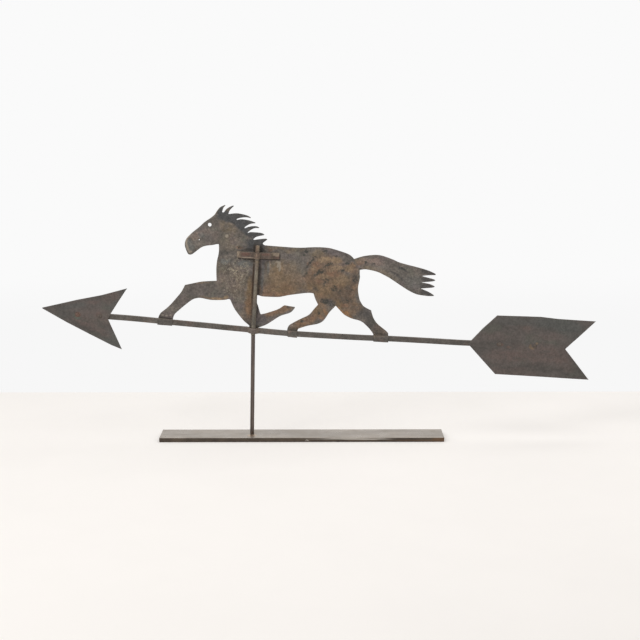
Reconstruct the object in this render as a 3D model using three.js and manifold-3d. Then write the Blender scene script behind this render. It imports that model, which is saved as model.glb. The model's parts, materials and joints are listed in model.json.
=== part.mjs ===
// A sheet-iron horse weathervane, running left on its arrow, on a flat-bar display stand.
// Millimetres, +Z up, +X from the arrow's head to its tail, +Y away from the viewer.
// The origin is the middle of the base bar's underside.

import * as THREE from 'three';
import { mergeVertices } from 'three/addons/utils/BufferGeometryUtils.js';
import { RoundedBoxGeometry } from 'three/addons/geometries/RoundedBoxGeometry.js';
import Module from 'manifold-3d';

// The stand

const base_length = 638.5;
const base_depth = 63.5;
const base_thickness = 10;
const base_edge_radius = 0.8;

const rod_diameter = 9;
const rod_length = 229;
const rod_offset = 112.9;
const rod_lean_degrees = 1.37;
const spigot_diameter = 4.5;
const spigot_length = 30;
const spigot_chamfer = 0.8;

const screw_diameter = 6;
const screw_head_diameter = 12;
const screw_head_rim = 0.6;
const screw_recess = 0.5;
const screw_reach = 16;
const screw_slot_width = 1.6;
const screw_slot_depth = 1.4;

// The vane, measured from the pivot, where the tube's axis crosses the middle of the arrow bar

const pivot_rise = 11.3;
const vane_droop_degrees = 2.43;

const tube_diameter = 9.5;
const tube_bore = 7;
const tube_tip_rise = 15.5;
const tube_cap = 3;
const tube_crown = 1.2;

const bar_height = 12.2;
const bar_depth = 6;
const bar_head_reach = 405;
const bar_tail_reach = 645;
const bar_bow = 12.6;
const eye_half_length = 12.5;
const eye_crest = 11;
const eye_root = 6;
const eye_bend_radius = 5;

const plate_thickness = 2;
const head_length = 187;
const head_height = 139;
const head_overhang = 63.6;
const tail_length = 279;
const tail_height = 137;
const tail_lap = 165.7;

const sheet_thickness = 2;
const horse_length = 608;
const horse_height = 272;
const horse_reach = 213;
const eye_hole_diameter = 8;
const cheek_hole_diameter = 2.2;
const tab_bend_radius = 1.6;
const tab_thin_edge = 0.7;

const strap_width = 14;
const strap_thickness = 2.5;
const strap_left_reach = 45;
const strap_right_reach = 48.4;
const strap_left_foot = 7;
const strap_right_foot = 14;
const strap_leg = 4.4;
const strap_stand_off = 5.6;
const strap_bend_radius = 1.8;
const strap_root_radius = 2.2;
const strap_tilt_degrees = 1.3;

const rivet_diameter = 4.4;
const rivet_head_diameter = 9;
const rivet_head_height = 1.7;
const rivet_tail_diameter = 7.6;
const rivet_tail_height = 1.5;
const strap_rivet_diameter = 2.8;
const strap_rivet_head_diameter = 5.6;
const strap_rivet_head_height = 1.3;
const neck_rivet_diameter = 4;
const neck_rivet_head_diameter = 7.6;
const neck_rivet_head_height = 1.2;

// What fits and what is cut

const clearance = 0.3;
const overrun = 1;

// The middle of the arrow bar, as shares of its length and of its bow

const bar_line_shares = [
  [0, 0.706], [0.091, 0.683], [0.147, 0.595], [0.227, 0.349], [0.295, 0.175], [0.338, 0.04],
  [0.373, -0.045], [0.408, -0.16], [0.444, -0.25], [0.486, -0.294], [0.571, -0.254], [0.627, -0.19],
  [0.681, -0.07], [0.763, -0.01], [0.834, 0.024], [0.91, 0.2], [1, 0.3],
];

// The plates, as shares of their length and height, with straight edges between the points

const head_outline_shares = [
  [0, 0.601], [0.406, 0.762], [0.701, 0.866], [0.995, 1],
  [0.9, 0.784], [0.81, 0.572], [0.781, 0.479],
  [0.874, 0.221], [0.954, 0], [0.827, 0.059], [0.603, 0.196], [0.303, 0.381], [0, 0.589],
];
const head_rivet_shares = [[0.418, 0.518], [0.682, 0.518]];

const tail_outline_shares = [
  [0, 0.478], [0.102, 0.739], [0.211, 0.977], [0.44, 0.993], [0.558, 1], [0.696, 0.984], [0.999, 0.983],
  [0.78, 0.493], [0.995, 0.005], [0.24, 0], [0.102, 0.274],
];
const tail_rivet_shares = [[0.252, 0.507], [0.536, 0.509]];

// The horse, as shares of its length and of its height above the pivot's level. Each row is one
// smooth stretch that ends in a corner, where the next row goes on. A row of one point is straight.

const horse_start_share = [0, 0.04];
const horse_outline_shares = [
  // Front leg and forearm, from the hoof up to the chest
  [[0.003, 0.064], [0.01, 0.09], [0.026, 0.122], [0.0425, 0.1595], [0.063, 0.218], [0.08, 0.27],
    [0.093, 0.331]],
  [[0.127, 0.3525], [0.158, 0.3695], [0.207, 0.382]],
  [[0.204, 0.483], [0.2055, 0.549], [0.209, 0.593], [0.2105, 0.638], [0.209, 0.683]],
  // Jaw, muzzle and forehead
  [[0.201, 0.682], [0.187, 0.673], [0.163, 0.663], [0.145, 0.645], [0.117, 0.592], [0.106, 0.583],
    [0.0975, 0.594], [0.0867, 0.656], [0.091, 0.709], [0.112, 0.7645], [0.135, 0.811],
    [0.1545, 0.8555], [0.1755, 0.892], [0.189, 0.921], [0.197, 0.952], [0.208, 0.983],
    [0.2245, 1.003]],
  // Ears, with blunt tips
  [[0.2265, 0.999]],
  [[0.2197, 0.979], [0.2152, 0.943]],
  [[0.2222, 0.9435]],
  [[0.229, 0.9675], [0.2416, 0.9895], [0.2545, 1.003]],
  [[0.2567, 0.999]],
  [[0.2466, 0.974], [0.2411, 0.955], [0.2385, 0.931]],
  // The five locks of the mane, with blunt tips
  [[0.2697, 0.942], [0.304, 0.931], [0.3195, 0.9155]],
  [[0.3187, 0.91]],
  [[0.304, 0.9145], [0.286, 0.9095], [0.271, 0.8985], [0.269, 0.893], [0.271, 0.8885]],
  [[0.283, 0.896], [0.3026, 0.895], [0.3207, 0.888], [0.3373, 0.8765]],
  [[0.3367, 0.871]],
  [[0.3212, 0.865], [0.3084, 0.8505], [0.299, 0.831], [0.3005, 0.826]],
  [[0.311, 0.8375], [0.3257, 0.846], [0.342, 0.8475], [0.3517, 0.839]],
  [[0.3512, 0.834]],
  [[0.3355, 0.831], [0.3224, 0.8155], [0.3125, 0.797], [0.3118, 0.789]],
  [[0.3224, 0.7975], [0.357, 0.797], [0.3712, 0.7865]],
  [[0.3704, 0.7805]],
  [[0.344, 0.763], [0.3338, 0.744], [0.334, 0.7365]],
  [[0.3684, 0.7505], [0.3805, 0.7515], [0.3828, 0.7455]],
  [[0.369, 0.7185], [0.3676, 0.711], [0.3717, 0.701], [0.3783, 0.698]],
  // Back and rump
  [[0.4885, 0.6955], [0.5493, 0.708], [0.5888, 0.712], [0.62, 0.7055], [0.6782, 0.6705],
    [0.7007, 0.6335]],
  // Tail, with its four locks
  [[0.7385, 0.664], [0.79, 0.6785], [0.8395, 0.651], [0.87, 0.6265], [0.957, 0.587],
    [0.993, 0.5605], [1, 0.552]],
  [[0.9985, 0.5445], [0.98, 0.5405], [0.9605, 0.5345], [0.9505, 0.529]],
  [[0.99, 0.511], [1, 0.5035]],
  [[1, 0.498]],
  [[0.987, 0.4895], [0.95, 0.477]],
  [[0.982, 0.4675], [1, 0.4515]],
  [[0.9995, 0.446]],
  [[0.99, 0.439], [0.95, 0.4265]],
  [[0.979, 0.4035], [0.9995, 0.379]],
  [[0.9985, 0.3715], [0.977, 0.3685], [0.947, 0.3725], [0.929, 0.382], [0.9, 0.4105],
    [0.841, 0.487], [0.8255, 0.505], [0.789, 0.5395], [0.747, 0.5545], [0.724, 0.5465]],
  // Stretched hind leg, down its back to the heel of the hoof behind the bar, and up its front
  [[0.725, 0.51], [0.7263, 0.48], [0.7224, 0.395], [0.7295, 0.314], [0.7385, 0.274], [0.75, 0.246],
    [0.776, 0.2195]],
  [[0.7845, 0.167], [0.793, 0.136], [0.806, 0.105], [0.837, 0.055], [0.8446, 0.038]],
  [[0.846, 0.016]],
  [[0.846, -0.01]],
  [[0.7915, -0.01]],
  [[0.7905, 0.016]],
  [[0.788, 0.03], [0.769, 0.0775], [0.7425, 0.1225], [0.7105, 0.1395], [0.6915, 0.1545],
    [0.675, 0.176], [0.6456, 0.2385]],
  // Hind leg under the body, down its back and up its front
  [[0.6315, 0.2015], [0.6215, 0.1715], [0.613, 0.1365], [0.605, 0.11], [0.5953, 0.091],
    [0.579, 0.075], [0.549, 0.058], [0.518, 0.0315], [0.513, 0.022]],
  [[0.512, 0.01]],
  [[0.512, -0.014]],
  [[0.4765, -0.014]],
  [[0.474, 0.016]],
  [[0.4772, 0.04], [0.486, 0.0625], [0.5205, 0.111], [0.539, 0.1335], [0.5535, 0.1575],
    [0.5665, 0.1975], [0.5795, 0.235], [0.5802, 0.2415]],
  // Stifle and belly
  [[0.5695, 0.285], [0.562, 0.3285]],
  [[0.5395, 0.33], [0.48, 0.3055], [0.451, 0.289], [0.431, 0.2805], [0.3816, 0.2775],
    [0.365, 0.284], [0.3572, 0.2855]],
  // Bent foreleg, with its lifted hoof and the knee that ends behind the bar
  [[0.3583, 0.222], [0.3623, 0.2], [0.3683, 0.16], [0.3725, 0.134], [0.375, 0.1285]],
  [[0.39, 0.138], [0.4095, 0.1545], [0.4285, 0.1715], [0.4425, 0.1885], [0.454, 0.209],
    [0.46, 0.2156], [0.475, 0.2115], [0.4975, 0.207]],
  [[0.4965, 0.1985], [0.492, 0.182], [0.48, 0.156], [0.4522, 0.1315], [0.4375, 0.1125],
    [0.398, 0.0476], [0.368, 0.016]],
  [[0.361, -0.005]],
  [[0.3347, -0.005]],
  [[0.3347, 0.018]],
  [[0.3345, 0.0265], [0.3262, 0.0425], [0.312, 0.0685], [0.2802, 0.151], [0.262, 0.2255],
    [0.259, 0.236]],
  // Underside of the stretched front leg, back to the hoof
  [[0.253, 0.2375], [0.237, 0.2285], [0.191, 0.2215], [0.1545, 0.2315], [0.14, 0.229],
    [0.1243, 0.2165], [0.104, 0.1805], [0.067, 0.1015], [0.0588, 0.078], [0.0546, 0.049],
    [0.0541, 0.036]],
  [[0.0541, 0.01]],
  [[0, 0.01]],
];
const eye_hole_shares = [0.1731, 0.8362];
const cheek_hole_shares = [0.138, 0.709];
const neck_rivet_shares = [0.2375, 0.75];
const strap_level_share = 0.615;

// The hooves that wrap the bar, as shares of the horse's length, from the side where the tab under
// the bar is hammered thin to the side where it keeps its thickness
const hoof_tab_shares = [[0.0541, 0], [0.4765, 0.512], [0.7915, 0.846]];

// Steps of the round stretches

const circle_steps = 32;
const rivet_steps = 20;
const dome_steps = 5;
const bend_steps = 5;
const curve_steps = 3;
const bar_steps = 60;
const edge_steps = 2;

// Layers from front to back, set out from the tube's axis

const tube_radius = tube_diameter / 2;
const rod_radius = rod_diameter / 2;
const strand_thickness = bar_depth / 2;
const eye_inside = tube_radius + clearance;
const bar_back = eye_inside + strand_thickness;
const bar_front = bar_back - bar_depth;
const sheet_front = bar_back + clearance;
const sheet_back = sheet_front + sheet_thickness;
const plate_back = bar_front - clearance;
const rod_lean = THREE.MathUtils.degToRad(rod_lean_degrees);
const vane_droop = THREE.MathUtils.degToRad(vane_droop_degrees);
const strap_tilt = THREE.MathUtils.degToRad(strap_tilt_degrees);

const wasm = await Module();
wasm.setup();

// A closed geometry as a solid that can be cut and joined, and back again

function solid_of(geometry) {
  const bare = geometry.index ? geometry.toNonIndexed() : geometry.clone();
  bare.deleteAttribute('normal');
  bare.deleteAttribute('uv');
  const merged = mergeVertices(bare);
  return new wasm.Manifold(new wasm.Mesh({
    numProp: 3,
    vertProperties: Float32Array.from(merged.attributes.position.array),
    triVerts: Uint32Array.from(merged.index.array),
  }));
}

function geometry_of(solid) {
  const mesh = solid.getMesh();
  const geometry = new THREE.BufferGeometry();
  geometry.setAttribute('position', new THREE.BufferAttribute(mesh.vertProperties, 3));
  geometry.setIndex(new THREE.BufferAttribute(mesh.triVerts, 1));
  geometry.computeVertexNormals();
  return geometry;
}

// An outline drawn on X and Z, with its back face at the given Y and its thickness towards the front

function plate(shape, thickness, back_face) {
  const geometry = new THREE.ExtrudeGeometry(shape, {
    depth: thickness, bevelEnabled: false, curveSegments: curve_steps,
  });
  const across = new THREE.Vector3(1, 0, 0);
  const up = new THREE.Vector3(0, 0, 1);
  const front = new THREE.Vector3(0, -1, 0);
  geometry.applyMatrix4(new THREE.Matrix4().makeBasis(across, up, front));
  geometry.translate(0, back_face, 0);
  return geometry;
}

// An outline drawn on X and Y, raised from the given Z

function raised(shape, height, bottom) {
  const geometry = new THREE.ExtrudeGeometry(shape, { depth: height, bevelEnabled: false });
  geometry.translate(0, 0, bottom);
  return geometry;
}

// A section drawn on Y and Z, drawn out along X from zero

function drawn_out(shape, length) {
  const geometry = new THREE.ExtrudeGeometry(shape, { depth: length, bevelEnabled: false });
  const front_to_back = new THREE.Vector3(0, 1, 0);
  const up = new THREE.Vector3(0, 0, 1);
  const along = new THREE.Vector3(1, 0, 0);
  geometry.applyMatrix4(new THREE.Matrix4().makeBasis(front_to_back, up, along));
  return geometry;
}

// A profile of [radius, height] turned about the Z axis

function turned(profile) {
  const geometry = new THREE.LatheGeometry(profile.map(([r, h]) => new THREE.Vector2(r, h)), circle_steps);
  geometry.rotateX(Math.PI / 2);
  return geometry;
}

function rectangle(x_low, x_high, y_low, y_high) {
  const shape = new THREE.Shape();
  shape.moveTo(x_low, y_low);
  shape.lineTo(x_high, y_low);
  shape.lineTo(x_high, y_high);
  shape.lineTo(x_low, y_high);
  shape.closePath();
  return shape;
}

function round_hole([x, y], diameter) {
  const hole = new THREE.Path();
  for (let step = 0; step < rivet_steps; step += 1) {
    const angle = 2 * Math.PI * step / rivet_steps;
    const edge = [x + diameter / 2 * Math.cos(angle), y + diameter / 2 * Math.sin(angle)];
    if (step === 0) hole.moveTo(...edge);
    else hole.lineTo(...edge);
  }
  hole.closePath();
  return hole;
}

// A strip of even thickness bent along a line of [x, y, bend radius] corners

function bent_strip(corners, thickness) {
  const stations = [];
  corners.forEach(([x, y, radius], index) => {
    const here = new THREE.Vector2(x, y);
    const before = corners[index - 1] && new THREE.Vector2(...corners[index - 1].slice(0, 2));
    const after = corners[index + 1] && new THREE.Vector2(...corners[index + 1].slice(0, 2));
    const coming = before && here.clone().sub(before).normalize();
    const going = after && after.clone().sub(here).normalize();
    if (!before || !after) {
      stations.push({ point: here, way: coming ?? going });
      return;
    }
    const turn = Math.atan2(coming.cross(going), coming.dot(going));
    const start = here.clone().addScaledVector(coming, -radius * Math.tan(Math.abs(turn) / 2));
    const side = new THREE.Vector2(-coming.y, coming.x).multiplyScalar(Math.sign(turn));
    const centre = start.clone().addScaledVector(side, radius);
    for (let step = 0; step <= bend_steps; step += 1) {
      const angle = turn * step / bend_steps;
      const point = start.clone().rotateAround(centre, angle);
      const way = coming.clone().rotateAround(new THREE.Vector2(), angle);
      stations.push({ point, way });
    }
  });
  const edge = (side) => stations.map(({ point, way }) => new THREE.Vector2(
    point.x - side * way.y * thickness / 2,
    point.y + side * way.x * thickness / 2,
  ));
  return new THREE.Shape([...edge(1), ...edge(-1).reverse()]);
}

// A rivet along Y through the layers between two faces, with a low dome at each end

function rivet(front_face, back_face, diameter, head, tail) {
  const front = front_face - clearance;
  const back = back_face + clearance;
  const dome = (radius, height, face, steps) => steps.map((step) => {
    const angle = Math.PI / 2 * step / dome_steps;
    return new THREE.Vector2(radius * Math.sin(angle), face + height * Math.cos(angle));
  });
  const outward = Array.from({ length: dome_steps + 1 }, (_, step) => step);
  const profile = [
    ...dome(head.diameter / 2, -head.height, front, outward),
    new THREE.Vector2(diameter / 2, front),
    new THREE.Vector2(diameter / 2, back),
    ...dome(tail.diameter / 2, tail.height, back, outward.toReversed()),
  ];
  return new THREE.LatheGeometry(profile, rivet_steps);
}

// Places on the vane, from shares of a piece's length and height

function head_place([along, high]) {
  const rivet_level = head_rivet_shares[0][1] * head_height;
  return [
    along * head_length - bar_head_reach - head_overhang,
    high * head_height - rivet_level + bar_middle(-bar_head_reach),
  ];
}

function tail_place([along, high]) {
  const rivet_level = tail_rivet_shares[1][1] * tail_height;
  return [
    along * tail_length + bar_tail_reach - tail_lap,
    high * tail_height - rivet_level + bar_middle(bar_tail_reach),
  ];
}

function horse_place([along, high]) {
  return [along * horse_length - horse_reach, high * horse_height];
}

// The middle line of the arrow bar and its height at a place along it

const bar_length = bar_head_reach + bar_tail_reach;
const bar_line = new THREE.SplineCurve(bar_line_shares.map(([along, high]) => new THREE.Vector2(
  along * bar_length - bar_head_reach,
  high * bar_bow,
))).getPoints(bar_steps);

function bar_middle(x) {
  let next = 1;
  while (next < bar_line.length - 1 && bar_line[next].x < x) next += 1;
  const [low, high] = [bar_line[next - 1], bar_line[next]];
  return THREE.MathUtils.mapLinear(x, low.x, high.x, low.y, high.y);
}

// Finish of each kind of surface

const finishes = {
  base_steel: { color: 0x8b857d, roughness: 0.32, metalness: 0.85 },
  rod_steel: { color: 0x5f5650, roughness: 0.4, metalness: 0.8 },
  screw_steel: { color: 0x77716b, roughness: 0.4, metalness: 0.85 },
  bar_iron: { color: 0x615b55, roughness: 0.7, metalness: 0.45 },
  plate_iron: { color: 0x5b534e, roughness: 0.72, metalness: 0.4 },
  horse_iron: { color: 0x57504a, roughness: 0.7, metalness: 0.4 },
  strap_iron: { color: 0x6b5148, roughness: 0.7, metalness: 0.35 },
  rivet_iron: { color: 0x6a5a50, roughness: 0.65, metalness: 0.45 },
};

function part(name, geometry, finish) {
  const mesh = new THREE.Mesh(geometry, new THREE.MeshStandardMaterial(finishes[finish]));
  mesh.name = name;
  return mesh;
}

// The stand

const screw_head_height = (screw_head_diameter - screw_diameter) / 2 + screw_head_rim;
const foot_gap = clearance + rod_radius * Math.sin(rod_lean);

function base_bar(to_rod) {
  const bar = new RoundedBoxGeometry(base_length, base_depth, base_thickness, edge_steps, base_edge_radius);
  bar.translate(0, 0, base_thickness / 2);
  const head_bottom = screw_recess - base_thickness;
  const bore = screw_diameter / 2 + clearance;
  const sink = screw_head_diameter / 2 + clearance;
  const hole = turned([
    [0, head_bottom - overrun - screw_recess],
    [sink, head_bottom - overrun - screw_recess],
    [sink, head_bottom + screw_head_rim + clearance],
    [bore, head_bottom + screw_head_height + clearance],
    [bore, overrun],
    [0, overrun],
  ]);
  hole.applyMatrix4(to_rod);
  return part('base_bar', geometry_of(solid_of(bar).subtract(solid_of(hole))), 'base_steel');
}

function stand_rod() {
  const socket = screw_diameter / 2 + clearance;
  const top = rod_length + spigot_length;
  return part('stand_rod', turned([
    [0, screw_reach + clearance],
    [socket, screw_reach + clearance],
    [socket, foot_gap],
    [rod_radius, foot_gap],
    [rod_radius, rod_length],
    [spigot_diameter / 2, rod_length],
    [spigot_diameter / 2, top - spigot_chamfer],
    [spigot_diameter / 2 - spigot_chamfer, top],
    [0, top],
  ]), 'rod_steel');
}

function foot_screw() {
  const bottom = screw_recess - base_thickness;
  const screw = turned([
    [0, bottom],
    [screw_head_diameter / 2, bottom],
    [screw_head_diameter / 2, bottom + screw_head_rim],
    [screw_diameter / 2, bottom + screw_head_height],
    [screw_diameter / 2, screw_reach],
    [0, screw_reach],
  ]);
  const slot = new THREE.BoxGeometry(screw_head_diameter + overrun, screw_slot_width, 2 * screw_slot_depth);
  slot.translate(0, 0, bottom);
  return part('foot_screw', geometry_of(solid_of(screw).subtract(solid_of(slot))), 'screw_steel');
}

// The arrow

const strap_middle = strap_level_share * horse_height;
const tube_top = strap_middle + strap_width / 2 + tube_tip_rise;
const tube_bottom = clearance + tube_radius * Math.sin(vane_droop) - pivot_rise;

function pivot_tube() {
  return part('pivot_tube', turned([
    [0, tube_top - tube_cap],
    [tube_bore / 2, tube_top - tube_cap],
    [tube_bore / 2, tube_bottom],
    [tube_radius, tube_bottom],
    [tube_radius, tube_top - tube_crown],
    [tube_radius - tube_crown, tube_top],
    [0, tube_top],
  ]), 'bar_iron');
}

function arrow_bar() {
  const half = bar_height / 2;
  const edge = (side) => bar_line.map((point) => new THREE.Vector2(point.x, point.y + side * half));
  const face = new THREE.Shape([...edge(-1), ...edge(1).reverse()]);
  for (const place of [...head_rivet_shares.map(head_place), ...tail_rivet_shares.map(tail_place)]) {
    face.holes.push(round_hole(place, rivet_diameter + 2 * clearance));
  }
  const from_the_side = solid_of(plate(face, 2 * (eye_inside + bar_depth), bar_back + bar_depth));
  const tall = bar_bow + bar_height;
  const straight = raised(rectangle(-bar_head_reach, bar_tail_reach, bar_front, bar_back), 2 * tall, -tall);
  const slit_outline = rectangle(-eye_half_length, eye_half_length, bar_front - overrun, eye_inside);
  const slit = raised(slit_outline, 2 * (tall + overrun), -tall - overrun);
  const strand_root = bar_front + strand_thickness / 2;
  const strand_crest = -eye_inside - strand_thickness / 2;
  const strand = raised(bent_strip([
    [-eye_half_length - eye_root, strand_root],
    [-eye_half_length, strand_root, eye_bend_radius],
    [-eye_crest / 2, strand_crest, eye_bend_radius],
    [eye_crest / 2, strand_crest, eye_bend_radius],
    [eye_half_length, strand_root, eye_bend_radius],
    [eye_half_length + eye_root, strand_root],
  ], strand_thickness), 2 * tall, -tall);
  const bore = new THREE.CylinderGeometry(eye_inside, eye_inside, 2 * (tall + overrun), circle_steps);
  bore.rotateX(Math.PI / 2);
  const slit_bar = solid_of(straight).subtract(solid_of(slit));
  const from_above = slit_bar.add(solid_of(strand)).subtract(solid_of(bore));
  return part('arrow_bar', geometry_of(from_above.intersect(from_the_side)), 'bar_iron');
}

function riveted_plate(name, outline, rivets) {
  const shape = new THREE.Shape(outline.map((point) => new THREE.Vector2(...point)));
  for (const place of rivets) {
    shape.holes.push(round_hole(place, rivet_diameter + 2 * clearance));
  }
  return part(name, plate(shape, plate_thickness, plate_back), 'plate_iron');
}

function bar_rivet(name, [x, z]) {
  const geometry = rivet(
    plate_back - plate_thickness, bar_back, rivet_diameter,
    { diameter: rivet_head_diameter, height: rivet_head_height },
    { diameter: rivet_tail_diameter, height: rivet_tail_height },
  );
  const mesh = part(name, geometry, 'rivet_iron');
  mesh.position.set(x, 0, z);
  return mesh;
}

// The horse

function hoof_tab(side_shares) {
  const [thin, thick] = side_shares.map((along) => along * horse_length - horse_reach);
  const [left, right] = [Math.min(thin, thick), Math.max(thin, thick)];
  const half = bar_height / 2;
  const middle_of_sheet = sheet_front + sheet_thickness / 2;
  const middle_of_flap = plate_back - sheet_thickness / 2;
  const under = -half - clearance - sheet_thickness / 2;
  const bent = drawn_out(bent_strip([
    [middle_of_sheet, half / 2],
    [middle_of_sheet, under, tab_bend_radius],
    [middle_of_flap, under, tab_bend_radius],
    [middle_of_flap, half],
  ], sheet_thickness), right - left);
  bent.translate(left, 0, 0);
  const reach = right - left + overrun;
  const layers = sheet_back - plate_back + sheet_thickness;
  const hammered = plate(
    rectangle(-reach, reach, -2 * sheet_thickness, 0), layers + 2 * overrun, sheet_back + overrun,
  );
  hammered.rotateY(Math.atan((sheet_thickness - tab_thin_edge) / (thick - thin)));
  hammered.translate(thick, 0, under - sheet_thickness / 2);
  const tab = geometry_of(solid_of(bent).subtract(solid_of(hammered)));
  tab.translate(-left, 0, 0);
  tab.rotateY(-Math.atan2(bar_middle(right) - bar_middle(left), right - left));
  tab.translate(left, 0, bar_middle(left));
  return tab;
}

function horse_sheet() {
  const shape = new THREE.Shape();
  shape.moveTo(...horse_place(horse_start_share));
  for (const stretch of horse_outline_shares) {
    if (stretch.length === 1) shape.lineTo(...horse_place(stretch[0]));
    else shape.splineThru(stretch.map((share) => new THREE.Vector2(...horse_place(share))));
  }
  shape.closePath();
  shape.holes.push(round_hole(horse_place(eye_hole_shares), eye_hole_diameter));
  shape.holes.push(round_hole(horse_place(cheek_hole_shares), cheek_hole_diameter));
  shape.holes.push(round_hole(horse_place(neck_rivet_shares), neck_rivet_diameter + 2 * clearance));
  for (const place of strap_rivet_places) {
    shape.holes.push(round_hole(place, strap_rivet_diameter + 2 * clearance));
  }
  let sheet = solid_of(plate(shape, sheet_thickness, sheet_back));
  for (const side_shares of hoof_tab_shares) {
    sheet = sheet.add(solid_of(hoof_tab(side_shares)));
  }
  return part('horse_sheet', geometry_of(sheet), 'horse_iron');
}

// The strap that keeps the horse to the tube

const strap_rivet_reaches = [
  -strap_left_reach + strap_left_foot / 2,
  strap_right_reach - strap_right_foot / 2,
];
const strap_rivet_places = strap_rivet_reaches.map((reach) => [
  reach * Math.cos(strap_tilt),
  reach * Math.sin(strap_tilt) + strap_middle,
]);
const strap_front = sheet_front - clearance - strap_thickness;

function keeper_strap() {
  const foot = strap_front + strap_thickness / 2;
  const raised_line = foot - strap_stand_off;
  const crest = tube_radius + clearance + strap_thickness / 2;
  const left = -strap_left_reach;
  const right = strap_right_reach;
  const section = bent_strip([
    [left, foot],
    [left + strap_left_foot, foot, strap_bend_radius],
    [left + strap_left_foot + strap_leg, raised_line, strap_bend_radius],
    [-crest, raised_line, strap_root_radius],
    [-crest, -crest, crest],
    [crest, -crest, crest],
    [crest, raised_line, strap_root_radius],
    [right - strap_right_foot - strap_leg, raised_line, strap_bend_radius],
    [right - strap_right_foot, foot, strap_bend_radius],
    [right, foot],
  ], strap_thickness);
  let strap = solid_of(raised(section, strap_width, -strap_width / 2));
  for (const reach of strap_rivet_reaches) {
    const bore_radius = strap_rivet_diameter / 2 + clearance;
    const bore = new THREE.CylinderGeometry(bore_radius, bore_radius, strap_width, rivet_steps);
    bore.translate(reach, foot, 0);
    strap = strap.subtract(solid_of(bore));
  }
  const geometry = geometry_of(strap);
  geometry.rotateY(-strap_tilt);
  geometry.translate(0, 0, strap_middle);
  return part('keeper_strap', geometry, 'strap_iron');
}

function strap_rivet(name, [x, z]) {
  const dome = { diameter: strap_rivet_head_diameter, height: strap_rivet_head_height };
  const mesh = part(name, rivet(strap_front, sheet_back, strap_rivet_diameter, dome, dome), 'rivet_iron');
  mesh.position.set(x, 0, z);
  return mesh;
}

function neck_rivet() {
  const dome = { diameter: neck_rivet_head_diameter, height: neck_rivet_head_height };
  const geometry = rivet(sheet_front, sheet_back, neck_rivet_diameter, dome, dome);
  const mesh = part('neck_rivet', geometry, 'rivet_iron');
  const [x, z] = horse_place(neck_rivet_shares);
  mesh.position.set(x, 0, z);
  return mesh;
}

// The whole

const stand_axis = new THREE.Group();
stand_axis.position.set(-rod_offset, 0, base_thickness);
stand_axis.rotation.y = rod_lean;
stand_axis.updateMatrix();
stand_axis.add(stand_rod(), foot_screw());

const vane = new THREE.Group();
vane.position.z = rod_length + pivot_rise;
vane.rotation.y = vane_droop;
stand_axis.add(vane);

const head_rivet_places = head_rivet_shares.map(head_place);
const tail_rivet_places = tail_rivet_shares.map(tail_place);

vane.add(pivot_tube(), arrow_bar());
vane.add(riveted_plate('arrow_head', head_outline_shares.map(head_place), head_rivet_places));
vane.add(bar_rivet('head_rivet_front', head_rivet_places[0]));
vane.add(bar_rivet('head_rivet_rear', head_rivet_places[1]));
vane.add(riveted_plate('arrow_tail', tail_outline_shares.map(tail_place), tail_rivet_places));
vane.add(bar_rivet('tail_rivet_front', tail_rivet_places[0]));
vane.add(bar_rivet('tail_rivet_rear', tail_rivet_places[1]));
vane.add(horse_sheet(), keeper_strap(), neck_rivet());
vane.add(strap_rivet('strap_rivet_left', strap_rivet_places[0]));
vane.add(strap_rivet('strap_rivet_right', strap_rivet_places[1]));

const weathervane = new THREE.Group();
weathervane.add(base_bar(stand_axis.matrix), stand_axis);

export default weathervane;
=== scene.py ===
# The looks of the horse weathervane: finer meshes and old-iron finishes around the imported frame.

import json
import math
import random

import bpy
import numpy as np
from mathutils import Matrix, Vector, geometry, noise
from mathutils.kdtree import KDTree


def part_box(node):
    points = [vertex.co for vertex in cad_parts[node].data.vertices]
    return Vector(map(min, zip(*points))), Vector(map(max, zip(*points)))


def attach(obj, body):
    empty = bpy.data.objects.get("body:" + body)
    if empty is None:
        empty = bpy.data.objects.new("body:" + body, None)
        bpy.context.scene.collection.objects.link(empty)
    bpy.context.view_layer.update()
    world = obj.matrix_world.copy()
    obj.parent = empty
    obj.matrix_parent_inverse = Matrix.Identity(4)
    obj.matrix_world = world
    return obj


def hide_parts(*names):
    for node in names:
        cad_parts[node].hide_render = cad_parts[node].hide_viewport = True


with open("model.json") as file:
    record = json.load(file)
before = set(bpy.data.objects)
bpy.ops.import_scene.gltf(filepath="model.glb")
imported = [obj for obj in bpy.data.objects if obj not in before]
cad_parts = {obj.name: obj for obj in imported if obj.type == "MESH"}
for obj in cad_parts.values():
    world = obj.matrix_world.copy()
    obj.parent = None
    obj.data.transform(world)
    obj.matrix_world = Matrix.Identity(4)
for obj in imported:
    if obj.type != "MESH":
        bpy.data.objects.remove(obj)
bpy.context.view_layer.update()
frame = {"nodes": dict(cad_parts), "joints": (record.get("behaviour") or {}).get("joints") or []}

# Sizes in millimetres, as in the part

MM = 0.001
LEAN_DEGREES, DROOP_DEGREES = 1.37, 2.43
STAND_LEAN = math.radians(LEAN_DEGREES)
VANE_DROOP = math.radians(DROOP_DEGREES)
VANE_TILT = math.radians(LEAN_DEGREES + DROOP_DEGREES)
STRAP_TILT = math.radians(1.3)
PIVOT = np.array(frame["joints"][0]["pos_m"]) / MM
FOOT = np.array([-112.9, 0.0, 10.0])

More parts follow.
